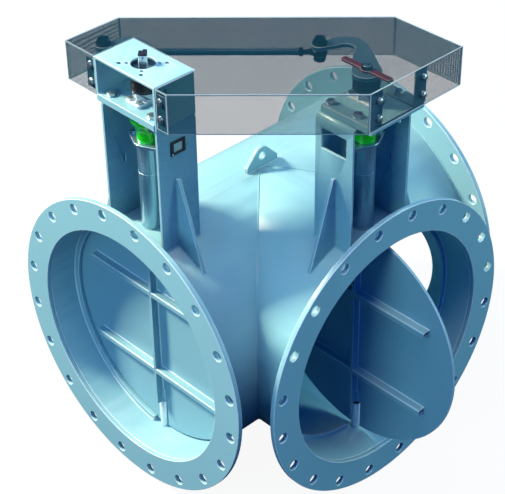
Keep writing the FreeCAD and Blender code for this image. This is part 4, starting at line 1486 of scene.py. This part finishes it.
@dataclass
class Hood:
    """The perforated hood, its folded edges, its slotted brackets and their screws."""

    margin: float = 0.003
    thinning: float = 0.0013
    fold_r: float = 0.0009
    fold_foot: float = 0.001
    screw_z: tuple[float, float] = (0.648, 0.690)
    front_screw_x: tuple[float, float] = (-0.113, 0.113)
    side_screw_y: tuple[float, float] = (-0.496, -0.3595)
    screw: Screw = Screw(0.004, 0.013, 0.0042, 0.0045, 0.0010, 0.0085)

    def build(self) -> None:
        """Builds the sheets, folds, brackets and screws."""
        self.add_sheet("hood_top_panel", HOOD_TOP)
        for name in ("left_end", "back", "right_end"):
            self.add_sheet(f"hood_{name}_wall", HOOD_FAR)
        for name in ("tower", "diagonal", "console"):
            self.add_sheet(f"hood_{name}_wall", HOOD_WALL)
        self.add_folds()
        # The console brackets' dark paint is painted shade.
        soften(0.0005, BRACKET_PAINTED_SHADE, "console_brackets")
        soften(0.0005, ANGLE_PAINT, "tower_brackets")
        self.add_screws()

    def add_sheet(self, name: str, finish: Finish) -> None:
        """Makes one punched sheet: holes laid out on its plane and a plain margin round it.

        Args:
            name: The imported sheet.
            finish: The finish of the punched field.
        """
        bm = packed_mesh(name)
        bmesh.ops.recalc_face_normals(bm, faces=bm.faces)
        axis = max(bm.faces, key=lambda f: f.calc_area()).normal.copy()
        along = UNIT_X if abs(axis.z) > 0.9 else UNIT_Z
        up = axis.cross(along).normalized()
        for face in bm.faces:
            face.material_index = 1
        for side in (1, -1):
            field = [f for f in bm.faces if f.normal.dot(axis) * side > 0.999]
            bmesh.ops.inset_region(bm, faces=field, thickness=self.margin, use_boundary=True,
                                   depth=0.0 if side > 0 else -self.thinning)
            for face in field:
                face.material_index = 0
        layer = bm.loops.layers.uv.new("sheet")
        for face in bm.faces:
            for loop in face.loops:
                loop[layer].uv = (loop.vert.co.dot(along), loop.vert.co.dot(up))
        add_piece(name + "_punched", bm, finish, HOOD_MARGIN, replaced=name)

    def outline(self) -> list[Point]:
        """Gives the hood's corners from the boxes of its walls, clockwise seen from above.

        Returns:
            The corners, seen from above.
        """
        left, back, right, tower, console = (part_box(f"hood_{name}_wall") for name in (
            "left_end", "back", "right_end", "tower", "console"))
        front_y = console[0].y
        return [(left[0].x, front_y), (left[0].x, left[1].y), (back[1].x, back[1].y),
                (right[1].x, right[1].y), (tower[1].x, tower[0].y), (console[1].x, front_y)]

    def add_folds(self) -> None:
        """Lays the rounded fold along the top's rim and down each corner, in pale paint that is a painted
        highlight.
        """
        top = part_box("hood_top_panel")[1].z - self.fold_r
        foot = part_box("hood_left_end_wall")[0].z + self.fold_foot
        corners = self.outline()
        shape = Shape()
        for i, corner in enumerate(corners):
            for follower in corners[i + 1:i + 2]:
                shape.add_line((*corner, top), (*follower, top), self.fold_r, scale_pitch=0.2,
                               lift=0.0)
            shape.add_line((*corner, foot), (*corner, top), self.fold_r, scale_pitch=0.1,
                           lift=0.0)
        shape.finish("hood_folds", HOOD_FOLD_HIGHLIGHT, slot="hood_mesh")

    def add_screws(self) -> None:
        """Sets the eight screws that hold the hood to its brackets."""
        shape = Shape()
        front_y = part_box("hood_console_wall")[0].y
        wall_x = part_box("hood_tower_wall")[1].x
        seats = [moved(x, front_y, z) @ turned(90, "X") for x in self.front_screw_x
                 for z in self.screw_z]
        seats += [moved(wall_x, y, z) @ turned(90, "Y") for y in self.side_screw_y
                  for z in self.screw_z]
        for i, seat in enumerate(seats):
            self.screw.add_to(shape, seat, turn=11 * i % 60)
        shape.finish("hood_screws", ZINC, replaced="hood_bolts")


@dataclass(frozen=True)
class Lamp:
    """One soft studio lamp."""

    name: str
    at: Triple
    aim: Triple
    power: float
    size: float
    colour: Triple


WHITE = (1.0, 1.0, 1.0, 1.0)
LAMPS = (
    Lamp("key", (-3.01, -2.6, 3.41), (0.1, -0.5, 0.1), 632.0, 0.8, (1.0, 0.885, 0.63)),
    Lamp("top", (0.9, -0.9, 5.0), (0.1, -0.5, 0.1), 126.0, 2.0, (0.97, 0.87, 0.65)),
    Lamp("back", (-1.06, 3.22, 3.23), (0.1, -0.5, 0.1), 84.0, 1.6, (0.50, 1.0, 0.95)),
    Lamp("right", (3.92, 2.56, 1.12), (0.1, -0.5, 0.1), 118.0, 2.4, (0.66, 1.0, 0.80)),
    Lamp("front", (0.6, -5.0, 2.13), (0.1, -0.5, 0.1), 90.0, 2.0, (0.62, 1.0, 1.0)),
)


@dataclass
class Studio:
    """A pale floor, a plain sky, soft lamps and the camera of the photograph."""

    camera_at: Triple = (2.2756, -2.5952, 2.3400)
    camera_right: Triple = (0.69182874, 0.72192453, -0.01406965)
    camera_up: Triple = (-0.41516817, 0.41365182, 0.81026389)
    camera_back: Triple = (0.59076931, -0.55472258, 0.5858963)
    lens: float = 112.45
    floor_half: float = 30.0
    floor_y: float = -0.43
    floor_gap: float = 0.0002
    floor_glow: float = 0.93
    floor_shade: Colour = (0.05, 0.05, 0.05, 1.0)
    floor_bounce: Colour = (0.015, 0.025, 0.04, 1.0)
    sky_light: Colour = (0.00, 0.15, 1.00, 1.0)
    sky_strength: float = 0.66

    def build(self) -> None:
        """Sets up the floor, the sky, the lamps and the camera."""
        self.add_floor()
        self.add_sky()
        for lamp in LAMPS:
            self.add_lamp(lamp)
        self.add_camera()
        bpy.context.scene.view_settings.view_transform = "Standard"

    def add_floor(self) -> None:
        """Lays the floor, white to the camera apart from the object's own shadow."""
        bm = bmesh.new()
        bmesh.ops.create_grid(bm, x_segments=1, y_segments=1, size=self.floor_half)
        height = CAD_BOX[0][2] - self.floor_gap
        bmesh.ops.translate(bm, verts=bm.verts, vec=(0, self.floor_y, height))
        mesh = bpy.data.meshes.new("studio_floor")
        bm.to_mesh(mesh)
        bm.free()
        made = bpy.data.materials.new("floor_white")
        made.use_nodes = True
        made.node_tree.nodes.clear()
        w = Wiring(made.node_tree)
        glow = w.add("Emission", {"Color": WHITE, "Strength": self.floor_glow})
        shade = w.add("BsdfDiffuse", {"Color": self.floor_shade})
        seen = w.add("AddShader", {0: glow.outputs[0], 1: shade.outputs[0]})
        bounce = w.add("BsdfDiffuse", {"Color": self.floor_bounce})
        mixed = w.add("MixShader", {0: w.add("LightPath").outputs["Is Camera Ray"],
                                    1: bounce.outputs[0], 2: seen.outputs[0]})
        w.add("OutputMaterial", {"Surface": mixed.outputs[0]})
        mesh.materials.append(made)
        put_in_scene("studio_floor", mesh)

    def add_sky(self) -> None:
        """Fills the sky: white to the camera, dim and bluish as light."""
        world = bpy.data.worlds.new("studio_sky")
        world.use_nodes = True
        world.node_tree.nodes.clear()
        w = Wiring(world.node_tree)
        rays = w.add("LightPath").outputs
        white = w.add("Background", {"Color": WHITE, "Strength": 1.0})
        soft = w.add("Background", {"Color": self.sky_light, "Strength": self.sky_strength})
        straight = w.math("MAXIMUM", rays["Is Camera Ray"], rays["Is Transmission Ray"])
        mixed = w.add("MixShader", {0: straight, 1: soft.outputs[0], 2: white.outputs[0]})
        w.add("OutputWorld", {"Surface": mixed.outputs[0]})
        bpy.context.scene.world = world

    def add_lamp(self, lamp: Lamp) -> None:
        """Hangs one area lamp aimed at the object.

        Args:
            lamp: The lamp.
        """
        data = bpy.data.lights.new(lamp.name, "AREA")
        data.energy = lamp.power
        data.size = lamp.size
        data.color = lamp.colour
        made = put_in_scene(lamp.name, data)
        made.location = lamp.at
        aim = Vector(lamp.aim) - made.location
        made.rotation_euler = aim.to_track_quat("-Z", "Y").to_euler()

    def add_camera(self) -> None:
        """Sets the camera where the photograph was taken from."""
        data = bpy.data.cameras.new("camera")
        data.sensor_width = 36.0
        data.lens = self.lens
        data.clip_start = 0.05
        data.clip_end = 200.0
        made = put_in_scene("camera", data)
        turn = Matrix((self.camera_right, self.camera_up, self.camera_back)).transposed()
        made.matrix_world = moved(*self.camera_at) @ turn.to_4x4()
        bpy.context.scene.camera = made


def main() -> None:
    """Builds every sub-assembly in order."""
    logging.basicConfig(level=logging.INFO, format="%(name)s: %(message)s")
    layout = Layout()
    DuctWork(layout).build()
    Towers(layout).build()
    Bearings(layout).build()
    soften(0.0009, CONSOLE_PAINT, "actuator_console")
    Valve(layout, "front", Body.FRONT, layout.front_place).build()
    Valve(layout, "side", Body.SIDE, layout.side_place).build()
    Linkage(layout).build()
    ShaftTops(layout).build()
    Nameplate().build()
    Hood().build()
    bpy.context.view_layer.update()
    Studio().build()


if __name__ == "__main__":
    main()
